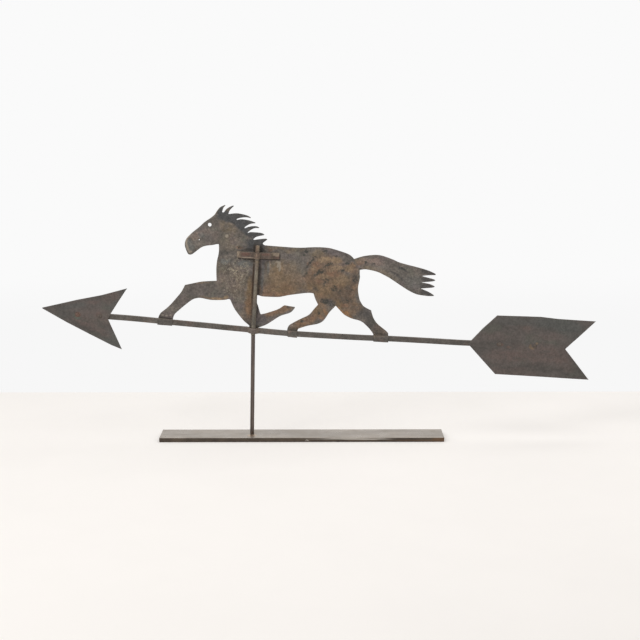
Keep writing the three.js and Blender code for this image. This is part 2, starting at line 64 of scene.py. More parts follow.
BASE_SIZE = (638.5, 63.5, 10.0)
ROD_RADIUS, ROD_LENGTH = 4.5, 229.0
SPIGOT_RADIUS, SPIGOT_LENGTH = 2.25, 30.0
SCREW_RADIUS, SCREW_REACH = 3.0, 16.0
TUBE_RADIUS, TUBE_BORE_RADIUS = 4.75, 3.5
TUBE_CAP, TUBE_TIP_RISE, PIVOT_RISE = 3.0, 15.5, 11.3
BAR_HALF_HEIGHT, BAR_FRONT, BAR_BACK = 6.1, 2.05, 8.05
BAR_HEAD_END, BAR_TAIL_END = -405.0, 645.0
EYE_INSIDE = 5.05
SHEET_FRONT, SHEET_BACK = 8.35, 10.35
PLATE_FRONT, PLATE_BACK = -0.25, 1.75
HORSE_LENGTH, HORSE_HEIGHT, HORSE_REACH = 608.0, 272.0, 213.0
STRAP_WIDTH, STRAP_THICKNESS = 14.0, 2.5
STRAP_LEVEL = 0.615 * HORSE_HEIGHT
GAP = 0.3


def turned_about_y(points, angle, centre):
    """Points (a, y, b) turned about the Y axis and set at a centre."""
    a, y, b = np.asarray(points, float).T
    c, s = math.cos(angle), math.sin(angle)
    return np.stack([centre[0] + a * c + b * s, centre[1] + y, centre[2] - a * s + b * c], axis=1)


def on_vane(points):
    return turned_about_y(points, VANE_TILT, PIVOT)


def off_vane(points):
    return turned_about_y(np.asarray(points, float) - PIVOT, -VANE_TILT, (0, 0, 0))


def smoothstep(low, high, value):
    t = np.clip((value - low) / (high - low), 0, 1)
    return t * t * (3 - 2 * t)


def waves(points, size, seed):
    """Smooth noise from -1 to 1 at points in millimetres, with features about size across."""
    offset = Vector((seed * 17.3, seed * 5.1, seed * 9.7))
    return np.array([noise.noise(Vector(p) / size + offset) for p in points])


def hammered(points, broad, fine, still):
    """How far sheet at (u, y, w) bulges, in millimetres, fading to none where still is 0."""
    flat = points * (1, 0, 1)
    return still * (broad * waves(flat, 75, 5) + fine * waves(flat, 24, 6))


# Outlines read from the frame's nodes


def flat_loops(node, level):
    """Closed outlines in (u, w) of a node's flat face at the given y on the vane, the outer one first."""
    mesh = frame["nodes"][node].data
    mesh.calc_loop_triangles()
    points = off_vane([v.co / MM for v in mesh.vertices])
    keys = [tuple(np.round(p, 2)) for p in points]
    place, edges = {}, {}
    for triangle in mesh.loop_triangles:
        corners = [keys[i] for i in triangle.vertices]
        if any(abs(c[1] - level) > 0.03 for c in corners):
            continue
        for i, key in enumerate(corners):
            place[key] = points[triangle.vertices[i]][[0, 2]]
            edges[key, corners[(i + 1) % 3]] = True
    follower = {start: end for start, end in edges if (end, start) not in edges}
    loops = []
    while follower:
        key, loop = min(follower), []
        while key in follower:
            loop.append(place[key])
            key = follower.pop(key)
        loops.append(np.array(loop))
    return wound(sorted(loops, key=lambda loop: -abs(area_of(loop))))


def wound(loops):
    """The loops with the outer one, which comes first, anticlockwise and the holes clockwise."""
    return [loop if (area_of(loop) > 0) == (i == 0) else loop[::-1] for i, loop in enumerate(loops)]


def cross(first, second):
    return first[..., 0] * second[..., 1] - first[..., 1] * second[..., 0]


def left_of(ways):
    return ways[..., ::-1] * (-1, 1)


def area_of(loop):
    return 0.5 * np.sum(cross(loop, np.roll(loop, -1, axis=0)))


def lengths_along(points):
    return np.concatenate([[0], np.cumsum(np.linalg.norm(np.diff(points, axis=0), axis=1))])


def between(at, lengths, points):
    return np.stack([np.interp(at, lengths, points[:, d]) for d in (0, 1)], axis=1)


def smoothed(loop, spacing, corner=math.radians(26), straight=math.radians(0.05)):
    """The loop with a smooth curve through its gentle points, sharp corners kept, cut in even steps."""
    before = loop - np.roll(loop, 1, axis=0)
    after = np.roll(loop, -1, axis=0) - loop
    turns = np.abs(np.arctan2(cross(before, after), np.sum(before * after, axis=1)))
    loop, turns = loop[turns > straight], turns[turns > straight]
    sharp = np.flatnonzero(turns > corner)
    result = []
    for first, last in zip(sharp, np.roll(sharp, -1)):
        run = [loop[(first + j) % len(loop)] for j in range((last - first) % len(loop) + 1)]
        points = [2 * run[0] - run[1], *run, 2 * run[-1] - run[-2]]
        curve = [run[0]]
        for corners in zip(points, points[1:], points[2:], points[3:]):
            curve.extend(catmull(corners))
        curve = np.array(curve)
        lengths = lengths_along(curve)
        pieces = max(1, round(lengths[-1] / spacing))
        result.append(between(np.linspace(0, lengths[-1], pieces + 1)[:-1], lengths, curve))
    return np.concatenate(result)


def catmull(corners, steps=6):
    """Points after the second of four corners, up to the third, on the centripetal curve through them."""
    knots = [0.0]
    for start, end in zip(corners, corners[1:]):
        knots.append(knots[-1] + max(1e-6, np.linalg.norm(end - start)) ** 0.5)

    def blend(t, low, high, first, second):
        t1, t2 = knots[low], knots[high]
        return (t2 - t) / (t2 - t1) * first + (t - t1) / (t2 - t1) * second

    points = []
    for t in np.linspace(knots[1], knots[2], steps + 1)[1:]:
        a, b, c = (blend(t, i, i + 1, corners[i], corners[i + 1]) for i in range(3))
        points.append(blend(t, 1, 2, blend(t, 0, 2, a, b), blend(t, 1, 3, b, c)))
    return points


def even_steps(loop, spacing):
    """The loop with its straight edges cut in even steps, each corner kept."""
    result = []
    for start, end in zip(loop, np.roll(loop, -1, axis=0)):
        pieces = max(1, round(np.linalg.norm(end - start) / spacing))
        result.extend(start + (end - start) * k / pieces for k in range(pieces))
    return np.array(result)


def hole(centre, radius, steps):
    """A circle run clockwise, as a hole is."""
    angles = -np.linspace(0, 2 * math.pi, steps, endpoint=False)
    return np.stack([centre[0] + radius * np.cos(angles), centre[1] + radius * np.sin(angles)], axis=1)


# Bent lines


def bent_line(corners, step=0.25):
    """A line through (x, y, bend radius) corners: lengths along it, its points and its left normals."""
    places = np.array([corner[:2] for corner in corners], float)
    runs = [run / np.linalg.norm(run) for run in np.diff(places, axis=0)]
    points, ways = [places[0]], [runs[0]]
    for (*_, radius), here, coming, going in zip(corners[1:-1], places[1:], runs, runs[1:]):
        turn = math.atan2(cross(coming, going), coming @ going)
        start = here - coming * radius * math.tan(abs(turn) / 2)
        centre = start + left_of(coming) * math.copysign(1, turn) * radius
        steps = max(4, math.ceil(abs(turn) * radius / step))
        for k in range(steps + 1):
            angle = turn * k / steps
            c, s = math.cos(angle), math.sin(angle)
            turned = np.array([[c, -s], [s, c]])
            points.append(centre + turned @ (start - centre))
            ways.append(turned @ coming)
    points, ways = np.array([*points, places[-1]]), np.array([*ways, runs[-1]])
    return lengths_along(points), points, left_of(ways)


def along(line, s, offset):
    """Places beside a bent line, s along it and offset to its left."""
    lengths, points, sides = line
    side = between(s, lengths, sides)
    side /= np.linalg.norm(side, axis=1, keepdims=True)
    return (between(s, lengths, points) + side * offset[:, None]).T


# Solid meshes from outlines


def inward(loop):
    """Mitred normals of a loop, towards the material on its left."""
    way = np.roll(loop, -1, axis=0) - loop
    way /= np.maximum(np.linalg.norm(way, axis=1, keepdims=True), 1e-9)
    both = left_of(way) + np.roll(left_of(way), 1, axis=0)
    size = np.maximum(np.sum(both * both, axis=1) / 2, 0.6)
    return both / size[:, None]


def fitted(loops, normals, widest):
    """The normals, cut short where the material has no room for the widest inset."""
    everything = np.concatenate(loops)
    result = []
    for loop, normal in zip(loops, normals):
        unit = normal / np.linalg.norm(normal, axis=1, keepdims=True)
        room = np.empty(len(loop))
        for i, (point, way) in enumerate(zip(loop, unit)):
            away = everything - point
            ahead = away @ way
            near = ahead > 1e-4
            room[i] = np.min(np.sum(away[near] ** 2, axis=1) / (2 * ahead[near]), initial=1e3)
        share = np.minimum(1, 0.6 * room / widest)
        for _ in range(2):
            share = np.minimum(share, (np.roll(share, 1) + share + np.roll(share, -1)) / 3)
        result.append(normal * share[:, None])
    return result


def round_rings(thickness, radius, steps=4, wall=2.5, margin=0.4):
    """(inset, depth) of the rings over a rounded edge, from the front face to the back."""
    quarter = [
        (radius * (1 - math.sin(a)), radius * (1 - math.cos(a)))
        for a in np.linspace(0, math.pi / 2, steps + 1)
    ]
    height = thickness - 2 * radius
    rows = max(1, round(height / wall))
    straight = [(0.0, radius + height * k / rows) for k in range(1, rows)]
    back = [(inset, thickness - depth) for inset, depth in reversed(quarter)]
    return [(radius + margin, 0.0), *quarter, *straight, *back, (radius + margin, thickness)]


def sheet_rings(thickness, loops, radius, margin):
    """Rounded edges for a sheet's outline, and finer ones for its holes."""
    holes = [round_rings(thickness, 0.25, 2, 2.5, 0.3) for _ in loops[1:]]
    return [round_rings(thickness, radius, 3, 2.5, margin), *holes]


def inside(points, loops, batch=2000):
    """Whether points lie in the outline, by counting crossings of all its loops."""
    crossed = np.zeros(len(points), bool)
    for loop in loops:
        (x1, y1), (x2, y2) = loop.T, np.roll(loop, -1, axis=0).T
        for k in range(0, len(points), batch):
            px, py = points[k:k + batch, 0:1], points[k:k + batch, 1:2]
            with np.errstate(divide="ignore", invalid="ignore"):
                at = x1 + (py - y1) / (y2 - y1) * (x2 - x1)
            spans = (y1 > py) != (y2 > py)
            crossed[k:k + batch] ^= (np.sum(spans & (px < at), axis=1) % 2).astype(bool)
    return crossed


def apart(points, others, distance):
    """The points that lie farther than a distance from all others."""
    tree = KDTree(len(others))
    for i, (x, y) in enumerate(others):
        tree.insert((x, y, 0), i)
    tree.balance()
    return np.array([p for p in points if tree.find((*p, 0))[2] > distance]).reshape(-1, 2)


def filled(loops, spacing, more):
    """Triangles over a flat outline: its loop points, then a loose grid of points inside it."""
    edge = np.concatenate(loops)
    draw = random.Random(1)
    low, high = edge.min(0), edge.max(0)
    row_height = spacing * math.sqrt(3) / 2
    grid = [
        (low[0] + (column + 0.5 * (row % 2) + draw.uniform(-0.2, 0.2)) * spacing,
         low[1] + (row + 0.5 + draw.uniform(-0.2, 0.2)) * row_height)
        for row in range(int((high[1] - low[1]) / row_height) + 1)
        for column in range(int((high[0] - low[0]) / spacing) + 2)
    ]
    grid = apart(grid, edge, 0.55 * spacing)
    grid = grid[inside(grid, loops)]
    for extra, margin in more:
        extra = apart(extra, edge, margin)
        extra = extra[inside(extra, loops)]
        grid = np.concatenate([apart(grid, extra, 1.5 * margin), extra])
    points = np.concatenate([edge, grid])
    edges, start = [], 0
    for loop in loops:
        count = len(loop)
        edges.extend((start + i, start + (i + 1) % count) for i in range(count))
        start += count
    made = geometry.delaunay_2d_cdt([Vector(p) for p in points], edges, [], 1, 1e-6)
    placed, _, triangles, sources, *_ = made
    middles = np.array([sum((placed[i] for i in t), Vector((0, 0))) / 3 for t in triangles])
    kept = inside(middles, loops)
    return points, [tuple(sources[i][0] for i in t) for t, keep in zip(triangles, kept) if keep]


def slab(loops, rings, spacing, more=()):
    """Points (a, b, depth) and faces of a thick plate. rings has one list for each loop."""
    points, faces, starts = [], [], []
    total = 0
    widest = max(ring_list[end][0] for ring_list in rings for end in (0, -1))
    normals = fitted(loops, [inward(loop) for loop in loops], min(widest, 1.6))
    for loop, normal, ring_list in zip(loops, normals, rings):
        count = len(loop)
        starts.append(total)
        for inset, depth in ring_list:
            points.append(np.column_stack([loop + normal * inset, np.full(count, depth)]))
        total += count * len(ring_list)
        for a in range(starts[-1], total - count, count):
            b = a + count
            faces += [(a + i, b + i, b + (i + 1) % count, a + (i + 1) % count) for i in range(count)]
    for end in (0, -1):
        edges = [loop + normal * ring_list[end][0] for loop, normal, ring_list in zip(loops, normals, rings)]
        flat, triangles = filled(edges, spacing, more)
        index = []
        for loop, start, ring_list in zip(loops, starts, rings):
            first = start + (end % len(ring_list)) * len(loop)
            index += range(first, first + len(loop))
        added = flat[len(index):]
        index += range(total, total + len(added))
        points.append(np.column_stack([added, np.full(len(added), rings[0][end][1])]))
        total += len(added)
        faces += [tuple(index[i] for i in (triangle[::-1] if end else triangle)) for triangle in triangles]
    return np.concatenate(points), faces


def lathe(profile, segments):
    """Points (x, y, z) and faces of a closed [radius, height] profile turned about Z."""
    points, faces, rows = [], [], []
    for radius, height in profile:
        count = segments if radius else 1
        rows.append(range(len(points), len(points) + count))
        for angle in [2 * math.pi * k / segments for k in range(count)]:
            points.append((radius * math.cos(angle), radius * math.sin(angle), height))
    for low, high in zip(rows, rows[1:]):
        for k in range(segments):
            sides = ((low, k), (low, k + 1), (high, k + 1), (high, k))
            corners = tuple(dict.fromkeys(row[at % len(row)] for row, at in sides))
            if len(corners) > 2:
                faces.append(corners)
    return np.array(points), faces


def placed(name, data):
    """A new object of some data, in the scene."""
    made = bpy.data.objects.new(name, data)
    bpy.context.scene.collection.objects.link(made)
    return made


def piece(name, points, faces, body, material, node):
    """A finished mesh, in the frame, that rides on a body and stands for a CAD node."""
    mesh = bpy.data.meshes.new(name)
    mesh.from_pydata((points * MM).tolist(), [], faces)
    mesh.polygons.foreach_set("use_smooth", [True] * len(mesh.polygons))
    mesh.update()
    mesh.materials.append(material)
    built = placed(name, mesh)
    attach(built, body)
    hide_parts(node)


def vane_piece(name, points, faces, material, node):
    piece(name, on_vane(points), faces, "vane", material, node)


# Finishes

# Where a spot ends, in its half sizes, and the share of that reach over which it fades
SPOT_REACH, SPOT_FADE = 1.45, 0.62


def linear(tone):
    """A tone as it shows on a screen, from 0 to 255, as the linear colour that a shader takes."""
    shares = (level / 255 for level in tone)
    return tuple(v / 12.92 if v < 0.04045 else ((v + 0.055) / 1.055) ** 2.4 for v in shares) + (1.0,)


class Nodes:
    """Makes and links the nodes of a tree."""

    def __init__(self, tree):
        self.tree = tree

    def feed(self, node, inputs):
        for key, value in inputs.items():
            if isinstance(value, bpy.types.NodeSocket):
                self.tree.links.new(value, node.inputs[key])
            else:
                node.inputs[key].default_value = value

    def node(self, kind, inputs, output=0, **settings):
        made = self.tree.nodes.new("ShaderNode" + kind)
        for key, value in settings.items():
            setattr(made, key, value)
        self.feed(made, inputs)
        return made.outputs[output]

    def sum(self, first, second, operation="ADD"):
        return self.node("Math", {0: first, 1: second}, operation=operation)

    def looked_at(self):
        """1 for rays of the camera, straight, mirrored or through glass, and 0 for those that carry light."""
        paths = self.tree.nodes.new("ShaderNodeLightPath").outputs
        share = self.sum(paths["Is Camera Ray"], paths["Is Glossy Ray"], "MAXIMUM")
        return self.sum(share, paths["Is Transmission Ray"], "MAXIMUM")


class Finish(Nodes):
    """A material, painted in layers on places in millimetres.

    *noise stands for size, seed, detail, roughness and stretch.
    """

    def __init__(self, name, tone, centre=(0, 0, 0), tilt=0.0):
        self.material = bpy.data.materials.new(name)
        self.material.use_nodes = True
        super().__init__(self.material.node_tree)
        self.shader = self.tree.nodes["Principled BSDF"]
        self.colour = linear(tone)
        self.raised = {}
        coordinates = self.tree.nodes.new("ShaderNodeTexCoord")
        self.normal = coordinates.outputs["Normal"]
        self.place = self.node("Mapping", {
            "Vector": coordinates.outputs["Object"], "Location": [c * MM for c in centre],
            "Rotation": (0, tilt, 0), "Scale": (MM, MM, MM),
        }, vector_type="TEXTURE")

    def noise(self, size, seed, detail=3, roughness=0.55, stretch=(1, 1, 1), output=0):
        shift = (seed * 113.0, seed * 57.0, seed * 191.0)
        at = self.node("Mapping", {"Vector": self.place, "Location": shift, "Scale": stretch})
        inputs = {"Vector": at, "Scale": 1 / size, "Detail": detail, "Roughness": roughness}
        return self.node("TexNoise", inputs, output)

    def spread(self, value, low, high, to_low=0.0, to_high=1.0):
        return self.node("MapRange", {
            "Value": value, "From Min": low, "From Max": high, "To Min": to_low, "To Max": to_high,
        }, interpolation_type="SMOOTHSTEP", clamp=False)

    def clouds(self, low, high, *noise, ends=(0, 1)):
        """Noise, drawn out so that low gives the first end and high the second."""
        return self.spread(self.noise(*noise), low, high, *ends)

    def times(self, first, second):
        return self.sum(first, second, "MULTIPLY")

    def over(self, colour, layer, share):
        """The colour with a layer of another over it where share is 1."""
        colour, layer = (linear(c) if isinstance(c, tuple) and len(c) == 3 else c for c in (colour, layer))
        return self.node("Mix", {0: share, 6: colour, 7: layer}, 2, data_type="RGBA")

    def coat(self, layer, share):
        self.colour = self.over(self.colour, layer, share)

    def grain(self, size, seed, amount):
        """Makes the colour darker and lighter, by up to a share of it, in grains of a size."""
        grain = self.clouds(0.36, 0.64, size, seed, 3, 0.65, ends=(1 - amount, 1 + amount))
        self.colour = self.node("VectorMath", {0: self.colour, "Scale": grain}, operation="SCALE")

    def wobbled(self, amount, size, seed):
        """Places pushed about by noise, so that what is drawn on them gets ragged edges."""
        push = self.noise(size, seed, 3, 0.6, output=1)
        push = self.node("VectorMath", {0: push, 1: (0.5, 0.5, 0.5)}, operation="SUBTRACT")
        push = self.node("VectorMath", {0: push, "Scale": amount}, operation="SCALE")
        return self.node("VectorMath", {0: self.place, 1: push}, operation="ADD")

    def spot(self, where, u, w, wide, high, strength=1.0, turn=0):
        """A soft spot about (u, w), given by its half sizes and turned by degrees."""
        at = self.node("Mapping", {
            "Vector": where, "Location": (u, 0, w), "Rotation": (0, math.radians(-turn), 0),
            "Scale": (wide * SPOT_REACH, 1000, high * SPOT_REACH),
        }, vector_type="TEXTURE")
        fall = self.node("TexGradient", {"Vector": at}, 1, gradient_type="SPHERICAL")
        return self.spread(fall, 0, SPOT_FADE, 0, strength)

    def spots(self, places, where):
        """Soft spots added up, to at most 1."""
        total = self.spot(where, *places[0])
        for place in places[1:]:
            total = self.sum(total, self.spot(where, *place))
        return self.sum(total, 1.0, "MINIMUM")

    def ragged(self, places, low, high, reach, *noise):
        """Spots whose rims are eaten away by noise."""
        eaten = self.times(self.sum(self.noise(*noise), 0.5, "SUBTRACT"), reach)
        return self.spread(self.sum(self.spots(places, self.place), eaten), low, high)

    def paint(self, tone, places, where, share):
        """A tone on soft spots, as strong as share says."""
        self.coat(tone, self.times(self.spots(places, where), share))

    def cloudy(self, tone, places, where, *clouds, ends=(0, 1)):
        """A tone on soft spots, broken up by clouds."""
        spots = self.spots(places, where)
        self.coat(tone, self.times(spots, self.clouds(*clouds, ends=ends)))

    def normal_y(self):
        return self.node("SeparateXYZ", {"Vector": self.normal}, 1)

    def wear(self, tone, share):
        """A tone on rims and cut edges, and none on the flat front and back."""
        edges = self.spread(self.sum(self.normal_y(), 0.0, "ABSOLUTE"), 0.55, 0.9, 1, 0)
        self.coat(tone, self.times(edges, share))

    def raise_by(self, depth, strength, *noise):
        """Raises the surface by noise, on top of what raised it before."""
        inputs = {"Height": self.noise(*noise), "Distance": depth * MM, "Strength": strength}
        self.raised = {"Normal": self.node("Bump", inputs | self.raised)}

    def finish(self, roughness, metallic):
        inputs = {"Base Color": self.colour, "Roughness": roughness, "Metallic": metallic}
        self.feed(self.shader, inputs | self.raised)
        return self.material


def old_iron(name, light, dark, rust, rust_share, seed, marks=(), metallic=0.2):
    """Weathered iron: two tones in clouds, rust in patches, pale and dark grains, and marks given one by one.
    """
    f = Finish(name, dark, PIVOT, VANE_TILT)
    f.coat(light, f.clouds(0.38, 0.62, 38, seed))
    f.coat(rust, f.times(f.clouds(0.5, 0.68, 24, seed + 1, 4), rust_share))
    for step, (tone, strength, places) in enumerate(marks):
        f.paint(tone, places, f.wobbled(1.5, 5, seed + 6 + step), strength)
    f.grain(7, seed + 3, 0.13)
    f.grain(3.2, seed + 2, 0.16)
    f.wear((132, 118, 101), 0.25)
    f.raise_by(0.5, 0.5, 9, seed + 4, 2)
    f.raise_by(0.16, 0.6, 3.2, seed + 2, 3)
    return f.finish(f.clouds(0.3, 0.7, 15, seed + 5, 3, ends=(0.5, 0.72)), metallic)


def cut_plates():
    """The arrow's head and tail: dark brown-grey in faint lengthwise streaks, stained round the rivets."""
    f = Finish("plate_iron", (76, 71, 67), PIVOT, VANE_TILT)
    broad = f.wobbled(16, 20, 12)
    f.coat((90, 83, 79), f.clouds(0.36, 0.62, 34, 13, 4, 0.6, (0.4, 1, 1)))
    f.coat((84, 84, 76), f.clouds(0.5, 0.66, 26, 14, 4, 0.6, (0.5, 1, 1), ends=(0, 0.6)))
    f.paint((81, 82, 79), [
        (668, 58, 56, 14, 1, -3), (572, 58, 40, 10, 0.5), (612, 4, 12, 10, 0.5), (-300, 44, 16, 34, 0.7, -30),
        (-396, 29, 26, 6, 0.6, 12), (-310, -46, 24, 20, 0.8, -30), (706, 40, 30, 20, 0.6),
        (-424, 12, 14, 14, 0.3),
    ], broad, 0.75)
    f.cloudy((96, 83, 78), [
        (-316, 54, 20, 12, 0.9, 20), (-356, 39, 16, 4, 0.9, 10), (-350, 8, 40, 18, 0.6),
        (-372, -12, 30, 5, 0.8, -26), (-336, -24, 30, 6, 0.6, -30), (605, 40, 12, 9, 0.9),
        (640, -14, 70, 22, 0.8), (560, -24, 40, 16, 0.7), (540, 20, 30, 10, 0.4),
        (700, -34, 24, 14, 0.5, -30), (580, -60, 60, 12, 0.6), (660, 26, 40, 8, 0.5),
    ], broad, 0.3, 0.6, 9, 15, 4, 0.6, (0.5, 1, 1), ends=(0.3, 1))
    near = f.wobbled(2.5, 5, 16)
    f.paint((104, 76, 62), [
        (-390, 9.6, 6.2, 6.2), (551, 2.6, 7, 4, 0.7), (-343, 12.8, 8, 5, 0.3), (570, -2, 5, 3, 0.4),
    ], near, 0.75)
    f.paint((86, 94, 84), [(-390, 2.5, 7, 3.5), (-398, 8, 3, 5, 0.5)], near, 0.6)
    f.paint((124, 104, 80), [
        (621, -1, 6, 2.6, 1, -20), (618.5, 4, 2.4, 4, 0.8), (632.5, 10, 3, 2.4, 0.9),
    ], near, 0.7)
    f.coat((70, 62, 57), f.times(f.clouds(0.4, 0.3, 5, 17, 4, 0.7), 0.5))
    f.grain(8, 18, 0.08)
    f.grain(3.4, 19, 0.13)
    f.wear((128, 116, 102), 0.25)
    f.raise_by(0.6, 0.5, 12, 15, 3)
    f.raise_by(0.14, 0.5, 3.4, 19, 3)
    return f.finish(f.clouds(0.3, 0.7, 15, 16, 3, ends=(0.5, 0.72)), 0.2)


bar_iron = old_iron("bar_iron", (98, 92, 86), (82, 77, 71), (98, 80, 71), 0.45, 3, [
    ((80, 75, 71), 0.45, [(330, -20, 200, 60)]),
    # A pale pinkish patch: over the eye a painted highlight on its bulge, towards the tail the bar's own
    # paler iron
    ((110, 97, 90), 0.5, [(-4, 0, 22, 8), (40, -3, 14, 5, 0.6)]),
    ((112, 92, 76), 0.6, [(-226, -1, 8, 3, 0.8), (-240, 2, 4, 2, 0.7)]),
])
plate_iron = cut_plates()
rivet_iron = old_iron("rivet_iron", (106, 80, 68), (92, 72, 63), (114, 76, 60), 0.8, 23)
dark_rivet = old_iron("dark_rivet", (92, 82, 74), (80, 72, 66), (92, 76, 62), 0.6, 25)
worn_iron = old_iron("worn_iron", (148, 138, 123), (132, 122, 110), (126, 108, 94), 0.3, 27)
strap_iron = old_iron("strap_iron", (104, 89, 79), (88, 75, 67), (102, 77, 65), 0.6, 31, [
    ((103, 75, 64), 0.85, [(-26, 168.8, 11, 4, 0.9, 1.3), (19, 170, 9, 3.4, 0.9, 1.3)]),
    # Tan feet, and a painted highlight on the right leg where it slopes back to the sheet
    ((144, 129, 112), 0.85, [(-43, 167, 5, 8), (43, 172, 9, 5), (34, 173, 3, 4, 0.9)]),
    # Painted highlights along the strap's bottom and top edges
    ((148, 132, 117), 0.75, [
        (-22, 161.6, 17, 1.5, 0.9, 1.3), (-22, 174.4, 20, 1.2, 0.8, 1.3), (14, 175, 14, 1, 0.4, 1.3),
    ]),
    # Painted highlight on the bulge over the tube
    ((112, 93, 79), 0.7, [(1, 167, 6, 6)]),
    # Painted highlight on the bulge's lower lip and down its middle
    ((146, 126, 105), 0.75, [(0, 160.5, 5, 1.6), (-1, 170, 1.4, 4, 0.7)]),
    # Painted shade, reddish brown, under the right foot, at the left riser and at the right end
    ((92, 74, 64), 0.8, [(43, 163.5, 8, 3, 0.9, 1.3), (-35, 164, 1.4, 5, 0.8), (49, 168, 2, 5, 0.7)]),
    ((80, 71, 63), 0.6, [(19, 165, 17, 4.6, 0.9, 1.3), (31, 168, 3, 6, 0.6)]),
])
tube_iron = old_iron("tube_iron", (122, 114, 100), (104, 97, 88), (118, 99, 82), 0.4, 41, [
    ((130, 112, 91), 0.8, [(0.5, 186, 3, 8), (0, 154, 5, 3, 0.6)]),
    ((104, 82, 68), 0.75, [(-3, 182, 2.5, 9), (0, 176, 5, 2, 0.8)]),
    ((88, 84, 77), 0.65, [(1, 28, 5, 26), (3, 60, 2, 20, 0.6)]),
    # Painted shade along both sides of the tube
    ((50, 42, 36), 0.85, [(-4.8, 100, 1.5, 100), (4.8, 110, 1.3, 80)]),
], 0.25)


